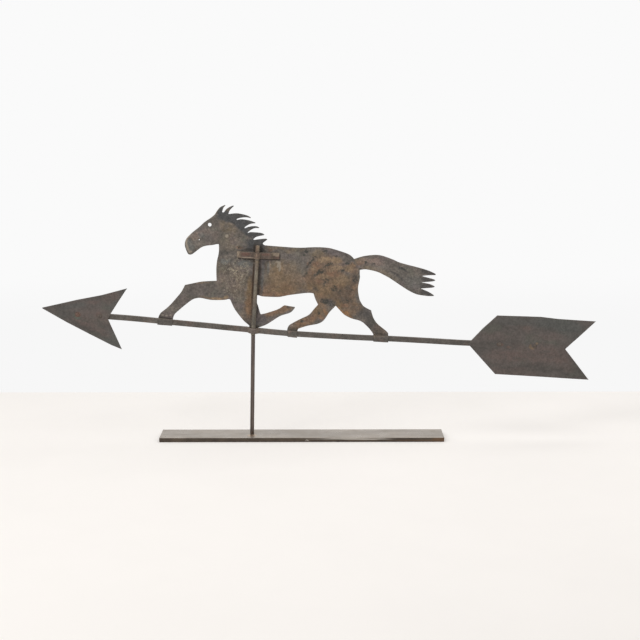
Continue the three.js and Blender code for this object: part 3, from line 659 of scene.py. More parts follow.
def cut_horse():
    """The horse's sheet: brown and tan rust on barrel and rump, a dark mane, pale specks on the chest."""
    f = Finish("horse_iron", (90, 84, 78), PIVOT, VANE_TILT)
    broad = f.wobbled(24, 24, 50)
    near = f.wobbled(10, 8, 51)
    f.coat((107, 99, 92), f.clouds(0.38, 0.62, 24, 52, 4, 0.6))
    f.coat((98, 98, 87), f.clouds(0.5, 0.66, 30, 63, ends=(0, 0.45)))
    f.coat((110, 98, 98), f.clouds(0.5, 0.64, 26, 64, ends=(0, 0.5)))
    # Gold, brown, ochre, rust and tan
    f.cloudy((122, 107, 85), [
        (-68, 224, 18, 16, 0.5), (-140, 198, 12, 8, 0.5, 20), (-92, 262, 3, 9, 0.9, -30),
        (-69, 262, 4, 6, 0.7), (-60, 190, 24, 16, 0.3), (55, 184, 50, 4, 0.5, -2), (60, 128, 40, 30, 0.8),
        (-30, 96, 22, 30, 0.3), (-80, 120, 12, 30, 0.3), (190, 124, 24, 13, 0.4), (290, 140, 26, 8, 0.4, -22),
        (240, 150, 16, 8, 0.5), (141, 64, 12, 8, 0.7), (130, 180, 16, 8, 0.7), (160, 92, 26, 12, 0.7),
    ], broad, 0.34, 0.6, 9, 65, 4, ends=(0.3, 1))
    f.cloudy((116, 95, 76), [
        (60, 118, 34, 30, 0.6, 5), (48, 90, 42, 17, 1, 5), (105, 112, 34, 18, 0.5), (-13, 60, 9, 36, 0.9),
        (35, 42, 42, 12, 1, 24), (66, 51, 16, 8, 0.9, 10), (150, 148, 36, 28, 0.8), (168, 118, 36, 24, 0.8),
        (150, 96, 30, 22, 0.9), (190, 92, 22, 20, 0.8), (128, 124, 20, 22, 0.7), (146, 54, 18, 20, 1, 30),
        (116, 26, 26, 12, 1, 28), (92, 14, 14, 10, 0.5), (200, 58, 24, 14, 0.9, -34), (206, 98, 14, 24, 0.9),
        (214, 78, 12, 16, 0.8), (215, 140, 10, 20, 0.7), (221, 108, 8, 20, 0.7), (226, 62, 14, 12, 0.8, -30),
        (-50, 112, 26, 36, 0.25), (206, 152, 16, 10, 0.9), (-94, 64, 26, 4, 0.8, 2), (-12, 100, 8, 20, 0.6),
        (228, 166, 10, 6, 0.8), (-20, 30, 14, 16, 0.5), (280, 14, 16, 14, 0.4),
    ], broad, 0.3, 0.58, 11, 53, 4, 0.65, ends=(0.55, 1))
    f.cloudy((117, 97, 70), [
        (-13, 66, 7, 34, 0.7), (-14, 100, 5, 16, 0.5), (56, 112, 34, 22, 0.4), (152, 94, 24, 14, 0.5),
        (64, 92, 30, 9, 0.4, 5), (186, 70, 16, 8, 0.6, -30), (140, 52, 10, 12, 0.6, 30),
        (120, 104, 20, 8, 0.5), (188, 118, 20, 14, 0.5), (50, 140, 14, 12, 0.4),
    ], near, 0.3, 0.58, 8, 72, 4, 0.65, ends=(0.4, 1))
    f.cloudy((127, 95, 74), [
        (45, 83, 34, 5, 0.6, 5), (131, 153, 9, 9, 0.7), (169, 136, 13, 7, 0.7), (226, 165, 8, 5, 0.4),
        (124, 30, 14, 7, 0.5, 25), (100, 18, 8, 5, 0.5), (48, 46, 26, 8, 0.45, 24), (199, 66, 8, 4, 0.9),
        (70, 100, 14, 9, 0.3), (-13, 52, 6, 22, 0.6), (100, 120, 10, 8, 0.3), (113, 153, 3, 6, 0.6),
        (207, 97, 8, 8, 0.3), (-40, 181, 8, 3, 0.7), (140, 118, 8, 5, 0.5), (186, 108, 7, 5, 0.4),
        (148, 86, 9, 5, 0.4), (118, 138, 6, 6, 0.5), (27, 180, 5, 4, 0.5), (14, 86, 6, 8, 0.3),
    ], near, 0.34, 0.58, 6, 54, 4, 0.7, ends=(0.2, 0.85))
    f.cloudy((140, 119, 95), [
        (170, 167, 18, 7, 0.9, -8), (145, 166, 12, 7, 0.9), (178, 152, 12, 6, 0.8), (204, 151, 10, 7, 0.8),
        (190, 126, 16, 8, 0.5), (-84, 64, 17, 2.6, 1, 3), (-66, 67, 7, 4, 1, 20), (-118, 98, 16, 2, 0.6, 4),
        (60, 150, 16, 10, 0.2), (50, 124, 18, 18, 0.3), (150, 128, 12, 5, 0.6), (28, 140, 3, 16, 0.8),
        (226, 170, 12, 5, 0.5), (124, 146, 7, 5, 0.6), (164, 144, 6, 4, 0.6), (270, 150, 20, 6, 0.3, -15),
    ], near, 0.32, 0.56, 7, 66, 4, 0.65, ends=(0.3, 1))
    # Orange, purple, silver, shade, pink and blue
    f.paint((148, 109, 72), [
        (187, 57, 6, 2.4, 1, -52), (196, 51, 8, 2.6, 1, -38), (205, 52, 6, 3.5, 1, -20),
        (210, 45, 8, 2.2, 0.8, -22), (158, 49, 4, 8, 0.7, 35), (150, 36, 4, 6, 0.5, 40),
        (112, 20, 12, 2.5, 0.4, 10),
    ], near, 0.75)
    f.paint((94, 88, 89), [
        (-132, 211, 17, 9, 0.5, 32), (-110, 200, 12, 12, 0.3), (64, 168, 26, 6, 0.3, -2),
        (13, 118, 3, 44, 0.5), (168, 182, 20, 5, 0.5, -12), (-130, 80, 30, 14, 0.35, 8),
        (64, 142, 6, 20, 0.2), (96, 162, 24, 7, 0.1), (264, 60, 12, 10, 0.4), (4, 40, 9, 30, 0.9),
        (380, 128, 18, 26, 0.3), (14, 26, 14, 16, 1, 20),
    ], near, 0.8)
    f.paint((116, 110, 103), [
        (296, 150, 44, 14, 0.5, -20), (350, 132, 30, 18, 0.4, -15), (-146, 192, 16, 18),
        (-24, 26, 8, 22, 0.4, 28), (-136, 206, 14, 10, 0.6, 30), (-110, 216, 16, 12, 0.5, 30),
        (92, 140, 22, 30, 0.4),
    ], near, 0.55)
    f.paint((70, 62, 52), [
        (186, 97, 22, 14, 0.9), (172, 80, 26, 10, 0.8), (-120, 84, 34, 14, 0.7, 5),
        (228, 66, 14, 14, 0.6, -40), (262, 36, 16, 18, 0.9, -45), (-160, 56, 16, 12, 0.4, 45),
        (206, 110, 10, 26, 0.4), (60, 172, 30, 8, 0.3), (-34, 44, 10, 22, 0.3, 25), (68, 114, 30, 18, 0.25),
    ], broad, 0.28)
    f.cloudy((132, 114, 105), [
        (238, 168, 16, 8, 0.6), (250, 170, 7, 4, 0.6), (28, 142, 3, 10, 0.7), (84, 15, 4, 6, 0.8),
        (-96, 206, 10, 10, 0.3), (-136, 201, 13, 8, 0.6, 30), (-116, 212, 12, 7, 0.4, 20),
        (264, 170, 14, 8, 0.9, -8), (276, -4, 3, 3, 0.5), (292, -8, 3, 3, 0.5),
    ], near, 0.3, 0.56, 5, 73, 4, 0.7, ends=(0.2, 0.9))
    f.paint((103, 106, 104), [
        (-26, 146, 17, 7, 0.9), (-73, 148, 9, 6, 0.8), (-148, 174, 9, 8, 0.6), (-126, 203, 6, 6, 0.6),
        (26, 140, 3, 14, 0.9), (-45, 144, 12, 6, 0.3), (-58, 152, 8, 5, 0.4), (350, 128, 24, 14, 0.4),
        (-150, 188, 5, 6, 0.6), (14, 116, 3, 40, 0.5),
    ], near, 0.7)
    # The mane, dark stretches, the hooves and the flecks of black
    f.paint((66, 67, 68), [
        (-80, 252, 14, 10, 0.9, 30), (-74, 249, 13, 8), (-66, 241, 13, 6, 1, -10), (-46, 250, 27, 7, 0.9, -5),
        (-46, 235, 13, 8, 1, -30), (-26, 238, 23, 7, 0.9, -10), (-36, 225, 12, 7, 1, -30),
        (-14, 227, 17, 6, 0.9, -10), (-26, 216, 9, 6, 0.9, -30), (-3, 213, 18, 6, 0.9, -8),
        (-14, 207, 10, 5, 0.8, -20), (8, 201, 17, 5, 0.9, -4), (-8, 194, 15, 7, 0.8), (-15, 182, 9, 9, 0.8),
        (9, 184, 6, 13, 0.9), (-86, 262, 6, 9, 0.8, -25), (-62, 266, 5, 8, 0.7, -35), (-20, 196, 10, 6, 0.4),
    ], f.wobbled(8, 8, 55), 0.9)
    f.paint((64, 62, 61), [
        (247, 54, 14, 10, 0.8, -40), (258, 30, 14, 12, 0.7, -45), (275, 16, 10, 10, 0.6, -40),
        (218, 127, 6, 12, 0.8), (378, 153, 18, 5.4, 1.1, -8), (380, 137, 17, 5.2, 1.1, -4),
        (378, 122, 17, 5.2, 1.1), (381, 106, 18, 6.2, 1.1, -12), (168, 72, 12, 7, 0.5), (152, 75, 8, 5, 0.4),
        (204, 78, 14, 8, 0.35), (-96, 140, 3, 34, 0.6), (-40, 20, 5, 26, 0.4, 28), (-150, 46, 12, 8, 0.4, 50),
        (76, 56, 5, 3, 0.9, -10), (-7, 20, 12, 10, 0.4), (178, 187, 26, 3, 0.6, -22), (132, 100, 6, 6, 0.7),
        (232, 52, 6, 8, 0.6), (-74, 166, 12, 6, 0.4), (-90, 178, 4, 12, 0.4), (112, 150, 9, 14, 0.3, 20),
        (322, 157, 15, 2.2, 1, -24), (312, 141, 20, 2.4, 1, -32), (338, 139, 10, 1.6, 0.6, -28),
        (326, 143, 16, 1.4, 0.4, -30), (330, 160, 10, 1.4, 0.6, -10), (194, 94, 22, 16, 0.3),
        (206, 112, 8, 14, 0.25),
    ], near, 0.72)
    f.paint((83, 79, 74), [(-197, 3, 20, 9), (92, 0, 9, 7, 0.9), (285, -5, 18, 7)], f.place, 0.85)
    f.paint((106, 84, 76), [(284, -5, 8, 3.5, 0.5), (81, 0, 5, 5, 0.6), (276, 22, 8, 8, 0.4)], near, 0.7)
    f.coat((50, 52, 47), f.times(f.ragged([
        (107, 183, 6, 4, 0.9), (101, 174, 5, 3, 0.8), (147, 184, 9, 4, 1, 25), (171, 178, 7, 4, 0.8, -15),
        (126, 168, 7, 5, 0.8, 40), (119, 160, 6, 4, 0.6, 50), (114, 151, 5, 9, 0.6, -20),
        (108, 132, 7, 8, 0.6, -30), (160, 158, 8, 4, 0.9, 10), (152, 152, 7, 3, 0.8, 30),
        (141, 140, 8, 6, 1.1, 15), (133, 133, 8, 4, 0.8, 40), (197, 161, 8, 4, 0.9, 10),
        (211, 161, 5, 3, 0.7), (184, 142, 7, 4, 0.8, 20), (193, 148, 6, 4, 0.8, 35), (239, 167, 3, 3.2, 1.1),
        (255, 165, 7, 2, 0.7, -5), (155, 120, 8, 6, 0.8), (149, 110, 6, 4, 0.6), (173, 104, 9, 7, 0.8),
        (188, 96, 7, 5, 0.6), (168, 69, 14, 8, 0.8), (152, 74, 10, 6, 0.8), (143, 47, 3, 5),
        (108, 25, 5, 4, 0.9), (120, 38, 6, 4, 0.6), (209, 79, 9, 7, 0.6), (196, 75, 8, 5, 0.6),
        (218, 126, 5, 9, 0.7), (-70, 168, 7, 4, 0.8), (-40, 182, 8, 3, 0.7), (-54, 172, 5, 2.6, 0.6),
        (320, 158, 9, 2.6, 0.8, -22), (128, 108, 7, 6, 0.6), (70, 172, 6, 2.6, 0.6), (214, 100, 6, 5, 0.5),
        (98, 100, 6, 3, 0.5), (226, 152, 5, 2.5, 0.5), (-110, 214, 5, 3, 0.5), (136, 160, 5, 3, 0.6, 30),
        (170, 148, 4, 3, 0.6), (178, 128, 5, 3, 0.5), (140, 96, 5, 4, 0.6), (124, 122, 5, 4, 0.6),
    ], 0.46, 1.06, 3.6, 4.6, 56, 4, 0.7), 0.85))
    # Painted shadows of the tube and the strap, on the front only, a dark line left of the tube that is part
    # painted shade and part rust stain, and painted shade in the creases over the hooves
    # Painted shadow: the tube's beside it, and the strap's under and round it
    tube_and_strap_shadow = f.spots([
        (6.8, 108, 3.2, 52, 0.7), (-24, 157.3, 22, 2.2, 1, 1.3), (24, 159.4, 24, 1.8, 1, 1.3),
        (47, 164, 4, 8, 0.7), (-7, 182, 3.5, 10), (7.5, 180, 3.5, 10, 0.9), (-6, 160, 4, 4, 0.8),
        (6, 58, 3, 30, 0.8), (-20, 178, 10, 3, 0.6),
    ], f.wobbled(2, 7, 67))
    front = f.times(f.spread(f.normal_y(), -0.5, -0.8), 0.9)
    f.coat((46, 38, 33), f.times(tube_and_strap_shadow, front))
    # A dark brown line left of the tube: part painted shade, part rust stain
    f.paint((62, 42, 27), [(-6.8, 116, 1.9, 44), (-6.8, 56, 1.8, 36, 0.5)], f.wobbled(1, 9, 75), front)
    # Painted shade in the creases where the sheet meets the bar, over the hooves and beside the tube
    f.paint((52, 47, 44), [
        (281, 8.5, 15, 1.2, 0.7, -4), (-197, 13, 16, 1.4, 0.8, -2), (-22, 3, 12, 2.5, 0.8),
    ], f.place, 0.7)
    for size, seed, amount in ((16, 70, 0.1), (7, 68, 0.16), (3.6, 60, 0.19)):
        f.grain(size, seed, amount)
    # Pale specks and pits on the chest, worn metal and the pale rim of the face
    chest = f.spots([
        (-46, 128, 30, 26), (-50, 92, 30, 24, 0.7), (-34, 150, 30, 10, 0.5), (-74, 148, 12, 10, 0.8),
        (-60, 160, 24, 10, 0.4),
    ], broad)
    f.coat((160, 151, 134), f.times(f.times(f.clouds(0.54, 0.63, 4.4, 57, 3, 0.65), chest), 0.6))
    pale = f.spots([(-49, 129, 9, 8), (-26, 140, 10, 5, 0.6), (-40, 116, 14, 10, 0.5)], near)
    f.coat((180, 168, 144), f.times(f.times(f.clouds(0.48, 0.6, 3.4, 71, 3, 0.65), pale), 0.7))
    f.coat((62, 58, 54), f.times(f.times(f.clouds(0.47, 0.37, 4.6, 69, 3, 0.65), chest), 0.6))
    f.coat((152, 143, 130), f.times(f.ragged([
        (48, 149, 3, 7, 1.5, -24), (51, 141, 2.2, 7, 1.4, -8), (45, 155, 3, 2.6, 1.2, -30),
        (-69, 205, 4.4, 4.4), (-203.5, 19.2, 3, 2.2, 0.9), (-194.5, 18.6, 3, 2.2, 0.9),
        (-185.5, 20.2, 3, 2.2, 0.8), (78, 17, 2.4, 1.8, 0.7), (82, 21, 2.4, 1.8, 0.7),
        (86, 14, 2.2, 1.8, 0.6),
    ], 0.42, 0.6, 1.0, 3.5, 59, 4, 0.7), 0.6))
    f.paint((158, 146, 130), [
        (-157, 188, 2.2, 10), (-154, 174, 2.4, 8, 1, 20), (-148, 165, 4, 2.4, 0.9, 20),
        (-152, 199, 2, 6, 0.9, -35),
    ], f.wobbled(2, 8, 74), 0.7)
    f.wear((138, 122, 102), 0.3)
    f.raise_by(0.7, 0.45, 14, 62, 2)
    f.raise_by(0.2, 0.7, 3, 61, 4, 0.7)
    return f.finish(f.clouds(0.3, 0.7, 10, 62, 3, ends=(0.52, 0.75)), 0.15)


def flat_bar():
    """The base: a satin top painted lighter and sides painted darker, as light and shade, a worn streak and
    the rod's painted reflection.
    """
    f = Finish("base_steel", (150, 141, 131))
    f.coat((172, 162, 151), f.clouds(0.35, 0.65, 60, 70, 4, 0.6, (0.25, 1, 1)))
    f.coat((130, 118, 105), f.clouds(0.55, 0.75, 14, 71, 4, 0.65, ends=(0, 0.4)))
    f.coat((128, 119, 109), f.clouds(0.55, 0.7, 5, 77, 3, 0.6, (0.03, 1, 1), ends=(0, 0.5)))
    # Painted reflection of the rod: a tan patch on the top in front of its foot
    away = f.node("VectorMath", {0: f.place, 1: (FOOT[0], -13, 10)}, 1, operation="DISTANCE")
    f.coat((188, 166, 142), f.spread(away, 14, 5, 0, 0.7))
    # Painted light and shade: the top keeps the lighter tones above, and the sides get the darker ones below
    side = f.spread(f.node("SeparateXYZ", {"Vector": f.normal}, 2), 0.5, 0.85, 1, 0)
    lit_top_colour, f.colour = f.colour, linear((74, 66, 59))
    f.coat((90, 80, 70), f.clouds(0.35, 0.65, 30, 72, 4))
    f.paint((206, 200, 192), [
        (118, 7.6, 62, 1.7, 1, -0.5), (150, 6.6, 50, 1.2, 0.8, 0.5), (60, 7.2, 50, 1.2, 0.4),
        (13, 4, 3.4, 0.9, 0.9, -35), (9, 3, 2.4, 0.7, 0.8, 30),
    ], f.wobbled(2, 30, 73), 0.64)
    f.paint((112, 86, 64), [(308, 5, 16, 8), (250, 3, 50, 2, 0.5)], f.wobbled(6, 12, 78), 0.6)
    f.colour = f.over(lit_top_colour, f.colour, side)
    f.raise_by(0.03, 0.4, 1.6, 74, 3, 0.6, (0.04, 1, 1))
    f.raise_by(0.3, 0.3, 40, 75, 2)
    rough = f.clouds(0.3, 0.7, 22, 76, 4, ends=(0.26, 0.42))
    return f.finish(f.sum(rough, f.times(side, 0.15)), 0.8)


def drawn_rod(name, light, dark, seed):
    """Dark drawn steel, streaked along its length."""
    f = Finish(name, dark, FOOT, STAND_LEAN)
    f.coat(light, f.clouds(0.35, 0.65, 5, seed, 3, 0.6, (1, 1, 0.08)))
    f.coat((70, 54, 46), f.clouds(0.56, 0.75, 9, seed + 1, 4, 0.65, ends=(0, 0.5)))
    f.raise_by(0.05, 0.5, 2, seed + 2, 3, 0.6, (1, 1, 0.1))
    return f.finish(f.clouds(0.3, 0.7, 12, seed + 3, 3, ends=(0.34, 0.5)), 0.75)


horse_iron = cut_horse()
base_steel = flat_bar()
rod_steel = drawn_rod("rod_steel", (106, 96, 90), (84, 75, 71), 81)
screw_steel = drawn_rod("screw_steel", (128, 120, 112), (104, 96, 90), 87)

# The base bar, with the foot screw's countersunk hole

base_thickness = BASE_SIZE[2]
base_corner = 1.2
base_loop = np.array([
    (sx * (BASE_SIZE[0] / 2 - base_corner) + base_corner * math.cos(math.radians(angle + turn)),
     sy * (BASE_SIZE[1] / 2 - base_corner) + base_corner * math.sin(math.radians(angle + turn)))
    for sx, sy, turn in ((1, 1, 0), (-1, 1, 90), (-1, -1, 180), (1, -1, 270))
    for angle in (0, 30, 60, 90)
])
sink_start, sink = 5.6, 3.0
hole_rings = [
    (0.5, 0), (0.2, 0), (0, 0.2), (0, sink_start), (sink, sink_start + sink), (sink, base_thickness - 0.1),
    (sink + 0.1, base_thickness), (sink + 0.5, base_thickness),
]
base_loops = [even_steps(base_loop, 5.0), hole(FOOT[:2], SCREW_RADIUS + GAP, 36)]
points, faces = slab(base_loops, [round_rings(base_thickness, 0.9), hole_rings], 12.0)
points[:, 2] = base_thickness - points[:, 2]
near_hole = 1 - smoothstep(7, 12, np.hypot(points[:, 0] - FOOT[0], points[:, 1]))
points[:, 0] += near_hole * (points[:, 2] - base_thickness) * math.tan(STAND_LEAN)
piece("flat_bar_base", points, faces, "stand", base_steel, "base_bar")

# The rod, with a shoulder and a turned-down end in the tube

foot_gap = GAP + ROD_RADIUS * math.sin(STAND_LEAN)
socket = SCREW_RADIUS + GAP
spigot_top = ROD_LENGTH + SPIGOT_LENGTH
rod_profile = [
    (0.0, SCREW_REACH + GAP), (socket, SCREW_REACH + GAP), (socket, foot_gap), (ROD_RADIUS - 0.3, foot_gap),
    *[(ROD_RADIUS, foot_gap + 0.3 + (ROD_LENGTH - foot_gap - 0.9) * k / 28) for k in range(28)],
    (ROD_RADIUS, ROD_LENGTH - 0.6), (ROD_RADIUS - 0.18, ROD_LENGTH - 0.18), (ROD_RADIUS - 0.6, ROD_LENGTH),
    (SPIGOT_RADIUS, ROD_LENGTH), (SPIGOT_RADIUS, spigot_top - 0.8), (SPIGOT_RADIUS - 0.8, spigot_top),
    (0.0, spigot_top),
]
points, faces = lathe(rod_profile, 40)
points = turned_about_y(points, STAND_LEAN, FOOT)
piece("upright_rod", points, faces, "stand", rod_steel, "stand_rod")

# The tube, closed with a hammered cap

tube_top = STRAP_LEVEL + STRAP_WIDTH / 2 + TUBE_TIP_RISE
tube_bottom = GAP + TUBE_RADIUS * math.sin(VANE_DROOP) - PIVOT_RISE
tube_profile = [
    (0.0, tube_top - TUBE_CAP), (TUBE_BORE_RADIUS, tube_top - TUBE_CAP),
    (TUBE_BORE_RADIUS, tube_bottom + 0.3), (TUBE_BORE_RADIUS + 0.3, tube_bottom),
    (TUBE_RADIUS - 0.3, tube_bottom),
    *[(TUBE_RADIUS, tube_bottom + 0.3 + (tube_top - 1.6 - tube_bottom) * k / 32) for k in range(33)],
    *[(TUBE_RADIUS - 1.6 + 1.6 * math.cos(a), tube_top - 1.3 + 1.1 * math.sin(a))
      for a in np.radians([15, 30, 50, 70])],
    (TUBE_RADIUS - 2.4, tube_top - 0.06), (0.0, tube_top),
]
points, faces = lathe(tube_profile, 40)
vane_piece("socket_tube", points, faces, tube_iron, "pivot_tube")

# The forged arrow bar, split and bowed round the tube

heights = {}
for u, _, w in off_vane([v.co / MM for v in frame["nodes"]["arrow_bar"].data.vertices]):
    heights.setdefault(round(u, 1), []).append(w)
stations = np.array(sorted(
    (u, (min(w) + max(w)) / 2) for u, w in heights.items()
    if abs(max(w) - min(w) - 2 * BAR_HALF_HEIGHT) < 0.05
))


def bar_middle(u):
    return np.interp(u, *stations.T)


strand = 1.5
eye_end, eye_foot, eye_side, eye_bend = 18.5, 12.5, 5.5, 5
eye_crest, eye_root = -EYE_INSIDE - strand, BAR_FRONT + strand
eye_line = bent_line([
    (-eye_end, eye_root), (-eye_foot, eye_root, eye_bend), (-eye_side, eye_crest, eye_bend),
    (eye_side, eye_crest, eye_bend), (eye_foot, eye_root, eye_bend), (eye_end, eye_root),
], 0.8)
outer = eye_line[1] - eye_line[2] * strand
inner = eye_line[1] + eye_line[2] * strand
bar_ends = [(BAR_TAIL_END, BAR_BACK), (BAR_HEAD_END, BAR_BACK), (BAR_HEAD_END, BAR_FRONT)]
bar_loop = np.array([*bar_ends, *outer, (BAR_TAIL_END, BAR_FRONT)])
bar_loops = wound([even_steps(bar_loop, 3.0), inner[inner[:, 1] < EYE_INSIDE - 0.02]])
bar_rings = [
    round_rings(2 * BAR_HALF_HEIGHT, radius, steps, 1.6, 0.3) for radius, steps in ((1.0, 4), (0.5, 3))
]
points, faces = slab(bar_loops, bar_rings, 2.6)
points[:, 2] = bar_middle(points[:, 0]) + BAR_HALF_HEIGHT - points[:, 2]
vane_piece("forged_arrow_bar", points, faces, bar_iron, "arrow_bar")

# The arrow's head and tail, cut from sheet

for name, node in (("cut_arrow_head", "arrow_head"), ("cut_arrow_tail", "arrow_tail")):
    loops = flat_loops(node, PLATE_FRONT)
    loops[0] = even_steps(loops[0], 2.4)
    points, faces = slab(loops, sheet_rings(PLATE_BACK - PLATE_FRONT, loops, 0.5, 0.4), 5.0)
    points = np.column_stack([points[:, 0], points[:, 2] + PLATE_FRONT, points[:, 1]])
    away = np.abs(points[:, 2] - bar_middle(points[:, 0])) - BAR_HALF_HEIGHT
    points[:, 1] += hammered(points, 1.2, 0.35, smoothstep(4, 24, away))
    vane_piece(name, points, faces, plate_iron, node)

# The horse, with three hooves bent under and up in front of the bar

TAB_BEND = 1.6
TAB_THIN = 0.7
# Each tab's thin and thick side, as shares of the horse's length
TABS = [(0.0541, 0.0), (0.4765, 0.512), (0.7915, 0.846)]
sheet_thickness = SHEET_BACK - SHEET_FRONT
sheet_middle = (SHEET_FRONT + SHEET_BACK) / 2
flap_middle = (PLATE_FRONT + PLATE_BACK) / 2
under = -BAR_HALF_HEIGHT - GAP - sheet_thickness / 2
fold_start = under + TAB_BEND
tab_line = bent_line([
    (sheet_middle, fold_start), (sheet_middle, under, TAB_BEND), (flap_middle, under, TAB_BEND),
    (flap_middle, BAR_HALF_HEIGHT),
], 0.2)
tab_length = tab_line[0][-1]


class Tab:
    """A hoof's tab: its place on the bar, and the fold that takes it round the bar."""

    def __init__(self, *sides):
        self.thin, self.thick = (share * HORSE_LENGTH - HORSE_REACH for share in sides)
        self.left, right = sorted((self.thin, self.thick))
        self.reach = right - self.left
        self.corner = np.array([self.left, bar_middle(self.left)])
        slope = math.atan2(bar_middle(right) - bar_middle(self.left), self.reach)
        self.way = np.array([math.cos(slope), math.sin(slope)])
        self.up = left_of(self.way)

    def local(self, places):
        away = places - self.corner
        return away @ self.way, away @ self.up

    def place(self, a, b):
        return self.corner + np.outer(a, self.way) + np.outer(b, self.up)

    def holds(self, places, above=0.0):
        """Whether places lie on the tab laid out flat, or a little above its fold."""
        a, b = self.local(places)
        return (a > -1) & (a < self.reach + 1) & (b < fold_start + above) & (b > fold_start - tab_length - 1)

    def unfold(self, loop):
        """The loop with the tab laid out flat below its fold."""
        a, b = self.local(loop)
        first, last = np.flatnonzero((abs(b - fold_start) < 0.06) & (a > -0.1) & (a < self.reach + 0.1))
        if last > first + 1:
            first, last = last, first
        tip = self.place([a[first], a[last]], [fold_start - tab_length] * 2)
        return np.concatenate([np.roll(loop, -(first + 1), axis=0), tip])

    def grid(self):
        """Places all over the tab laid out flat, close enough for its bends."""
        rows = fold_start - np.arange(0.35, tab_length, 0.7)
        a, b = np.meshgrid(np.arange(1.2, self.reach - 0.5, 2.0), rows)
        return self.place(a.ravel(), b.ravel())

    def fold(self, places, depth, result):
        """Bends the tab's points round the bar, thinner towards one side where it passes under the bar."""
        bent = self.holds(places)
        a, b = self.local(places[bent])
        y, z = along(tab_line, fold_start - b, depth[bent] - sheet_thickness / 2)
        share = np.clip((a + self.left - self.thin) / (self.thick - self.thin), 0, 1)
        z = np.maximum(z, under - sheet_thickness / 2 + (sheet_thickness - TAB_THIN) * (1 - share))
        at = self.place(a, z)
        result[bent] = np.column_stack([at[:, 0], y, at[:, 1]])


tabs = [Tab(*sides) for sides in TABS]
outline, *holes = flat_loops("horse_sheet", SHEET_BACK)
for tab in tabs:
    outline = tab.unfold(outline)
outline = smoothed(outline, 1.5)
middles = (outline + np.roll(outline, -1, axis=0)) / 2
split = np.any([tab.holds(middles, 0.5) for tab in tabs], axis=0)
outline = np.stack([outline, middles], axis=1)[np.column_stack([split | True, split])]
loops = [outline, *holes]
more = [(tab.grid(), 0.6) for tab in tabs]
points, faces = slab(loops, sheet_rings(sheet_thickness, loops, 0.45, 0.35), 4.5, more)
result = np.column_stack([points[:, 0], points[:, 2] + SHEET_FRONT, points[:, 1]])
for tab in tabs:
    tab.fold(points[:, :2], points[:, 2], result)
u, w = result[:, 0], result[:, 2]
above_bar = w - bar_middle(u) - BAR_HALF_HEIGHT
strap_spot, strap_reach = (2, 167.5), (50, 9)
from_strap = np.hypot(*np.maximum(np.abs(result[:, ::2] - strap_spot) - strap_reach, 0).T)
neck = off_vane([np.mean(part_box("neck_rivet"), axis=0) / MM])[0]
from_rivet = np.hypot(u - neck[0], w - neck[2])
still = smoothstep(4, 34, above_bar) * smoothstep(2, 22, from_strap) * smoothstep(5, 20, from_rivet)
result[:, 1] += hammered(result, 1.3, 0.4, still)
vane_piece("cut_iron_horse", result, faces, horse_iron, "horse_sheet")

# The strap, bent round the tube

strap_front = SHEET_FRONT - GAP - STRAP_THICKNESS
foot_level = strap_front + STRAP_THICKNESS / 2
strap_rise = 5.6
raised_level = foot_level - strap_rise
crest = TUBE_RADIUS + GAP + STRAP_THICKNESS / 2
strap_line = bent_line([
    (-45, foot_level), (-38, foot_level, 1.8), (-33.6, raised_level, 1.8), (-crest, raised_level, 2.2),
    (-crest, -crest, crest), (crest, -crest, crest), (crest, raised_level, 2.2), (30, raised_level, 1.8),
    (34.4, foot_level, 1.8), (48.4, foot_level),
], 0.4)
end, side = strap_line[0][-1], STRAP_WIDTH / 2
strap_loop = even_steps(np.array([
    (0.6, -side), (end - 0.8, -side), (end, -side + 0.8), (end, side - 0.8), (end - 0.8, side), (0.6, side),
    (0, side - 0.6), (0, -side + 0.6),
]), 0.8)
strap_loops = [strap_loop, *[hole((s, 0), 1.7, 20) for s in (3.5, end - 7.0)]]
rings = [round_rings(STRAP_THICKNESS, 0.6, 3, 2.5, 0.3)]
rings += [round_rings(STRAP_THICKNESS, 0.2, 2, 2.5, 0.2)] * 2
points, faces = slab(strap_loops, rings, 1.3)
x, y = along(strap_line, points[:, 0], points[:, 2] - STRAP_THICKNESS / 2)
points = turned_about_y(np.column_stack([x, y, points[:, 1]]), -STRAP_TILT, (0, 0, STRAP_LEVEL))
vane_piece("bent_strap", points, faces, strap_iron, "keeper_strap")

# The rivets, with hand-peened domes


def rivet(node, front, back, radius, head, tail, seed, material):
    """A rivet along Y at its node's place, with uneven domes of (radius, height)."""
    low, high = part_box(node)
    middle = off_vane([(low + high) / 2 / MM])[0]
    steps = np.linspace(0, math.pi / 2, 8)
    profile = [
        *[(tail[0] * math.sin(a), -(back + GAP + tail[1] * math.cos(a))) for a in steps],
        (radius, -(back + GAP)), (radius, -(front - GAP)),
        *[(head[0] * math.sin(a), -(front - GAP - head[1] * math.cos(a))) for a in steps[::-1]],
    ]
    points, faces = lathe(profile, 28)
    dents = waves(points, 2.2, seed) * (np.hypot(points[:, 0], points[:, 1]) > radius * 0.2)
    points[:, :2] *= 1 + 0.035 * dents[:, None]
    points = np.column_stack([points[:, 0] + middle[0], -points[:, 2], points[:, 1] + middle[2]])
    vane_piece("peened_" + node, points, faces, material, node)


plate_rivets = ("head_rivet_front", "head_rivet_rear", "tail_rivet_front", "tail_rivet_rear")
for seed, node in enumerate(plate_rivets, 1):
    finish = rivet_iron if node == "head_rivet_front" else dark_rivet
    rivet(node, PLATE_FRONT, BAR_BACK, 2.2, (4.5, 1.7), (3.8, 1.5), seed, finish)
for seed, node in enumerate(("strap_rivet_left", "strap_rivet_right"), 11):
    rivet(node, strap_front, SHEET_BACK, 1.4, (2.8, 1.3), (2.8, 1.3), seed, strap_iron)
rivet("neck_rivet", SHEET_FRONT, SHEET_BACK, 2.0, (3.8, 1.2), (3.8, 1.2), 21, worn_iron)

screw_materials = frame["nodes"]["foot_screw"].data.materials
screw_materials.clear()
screw_materials.append(screw_steel)

# The camera, floor and light

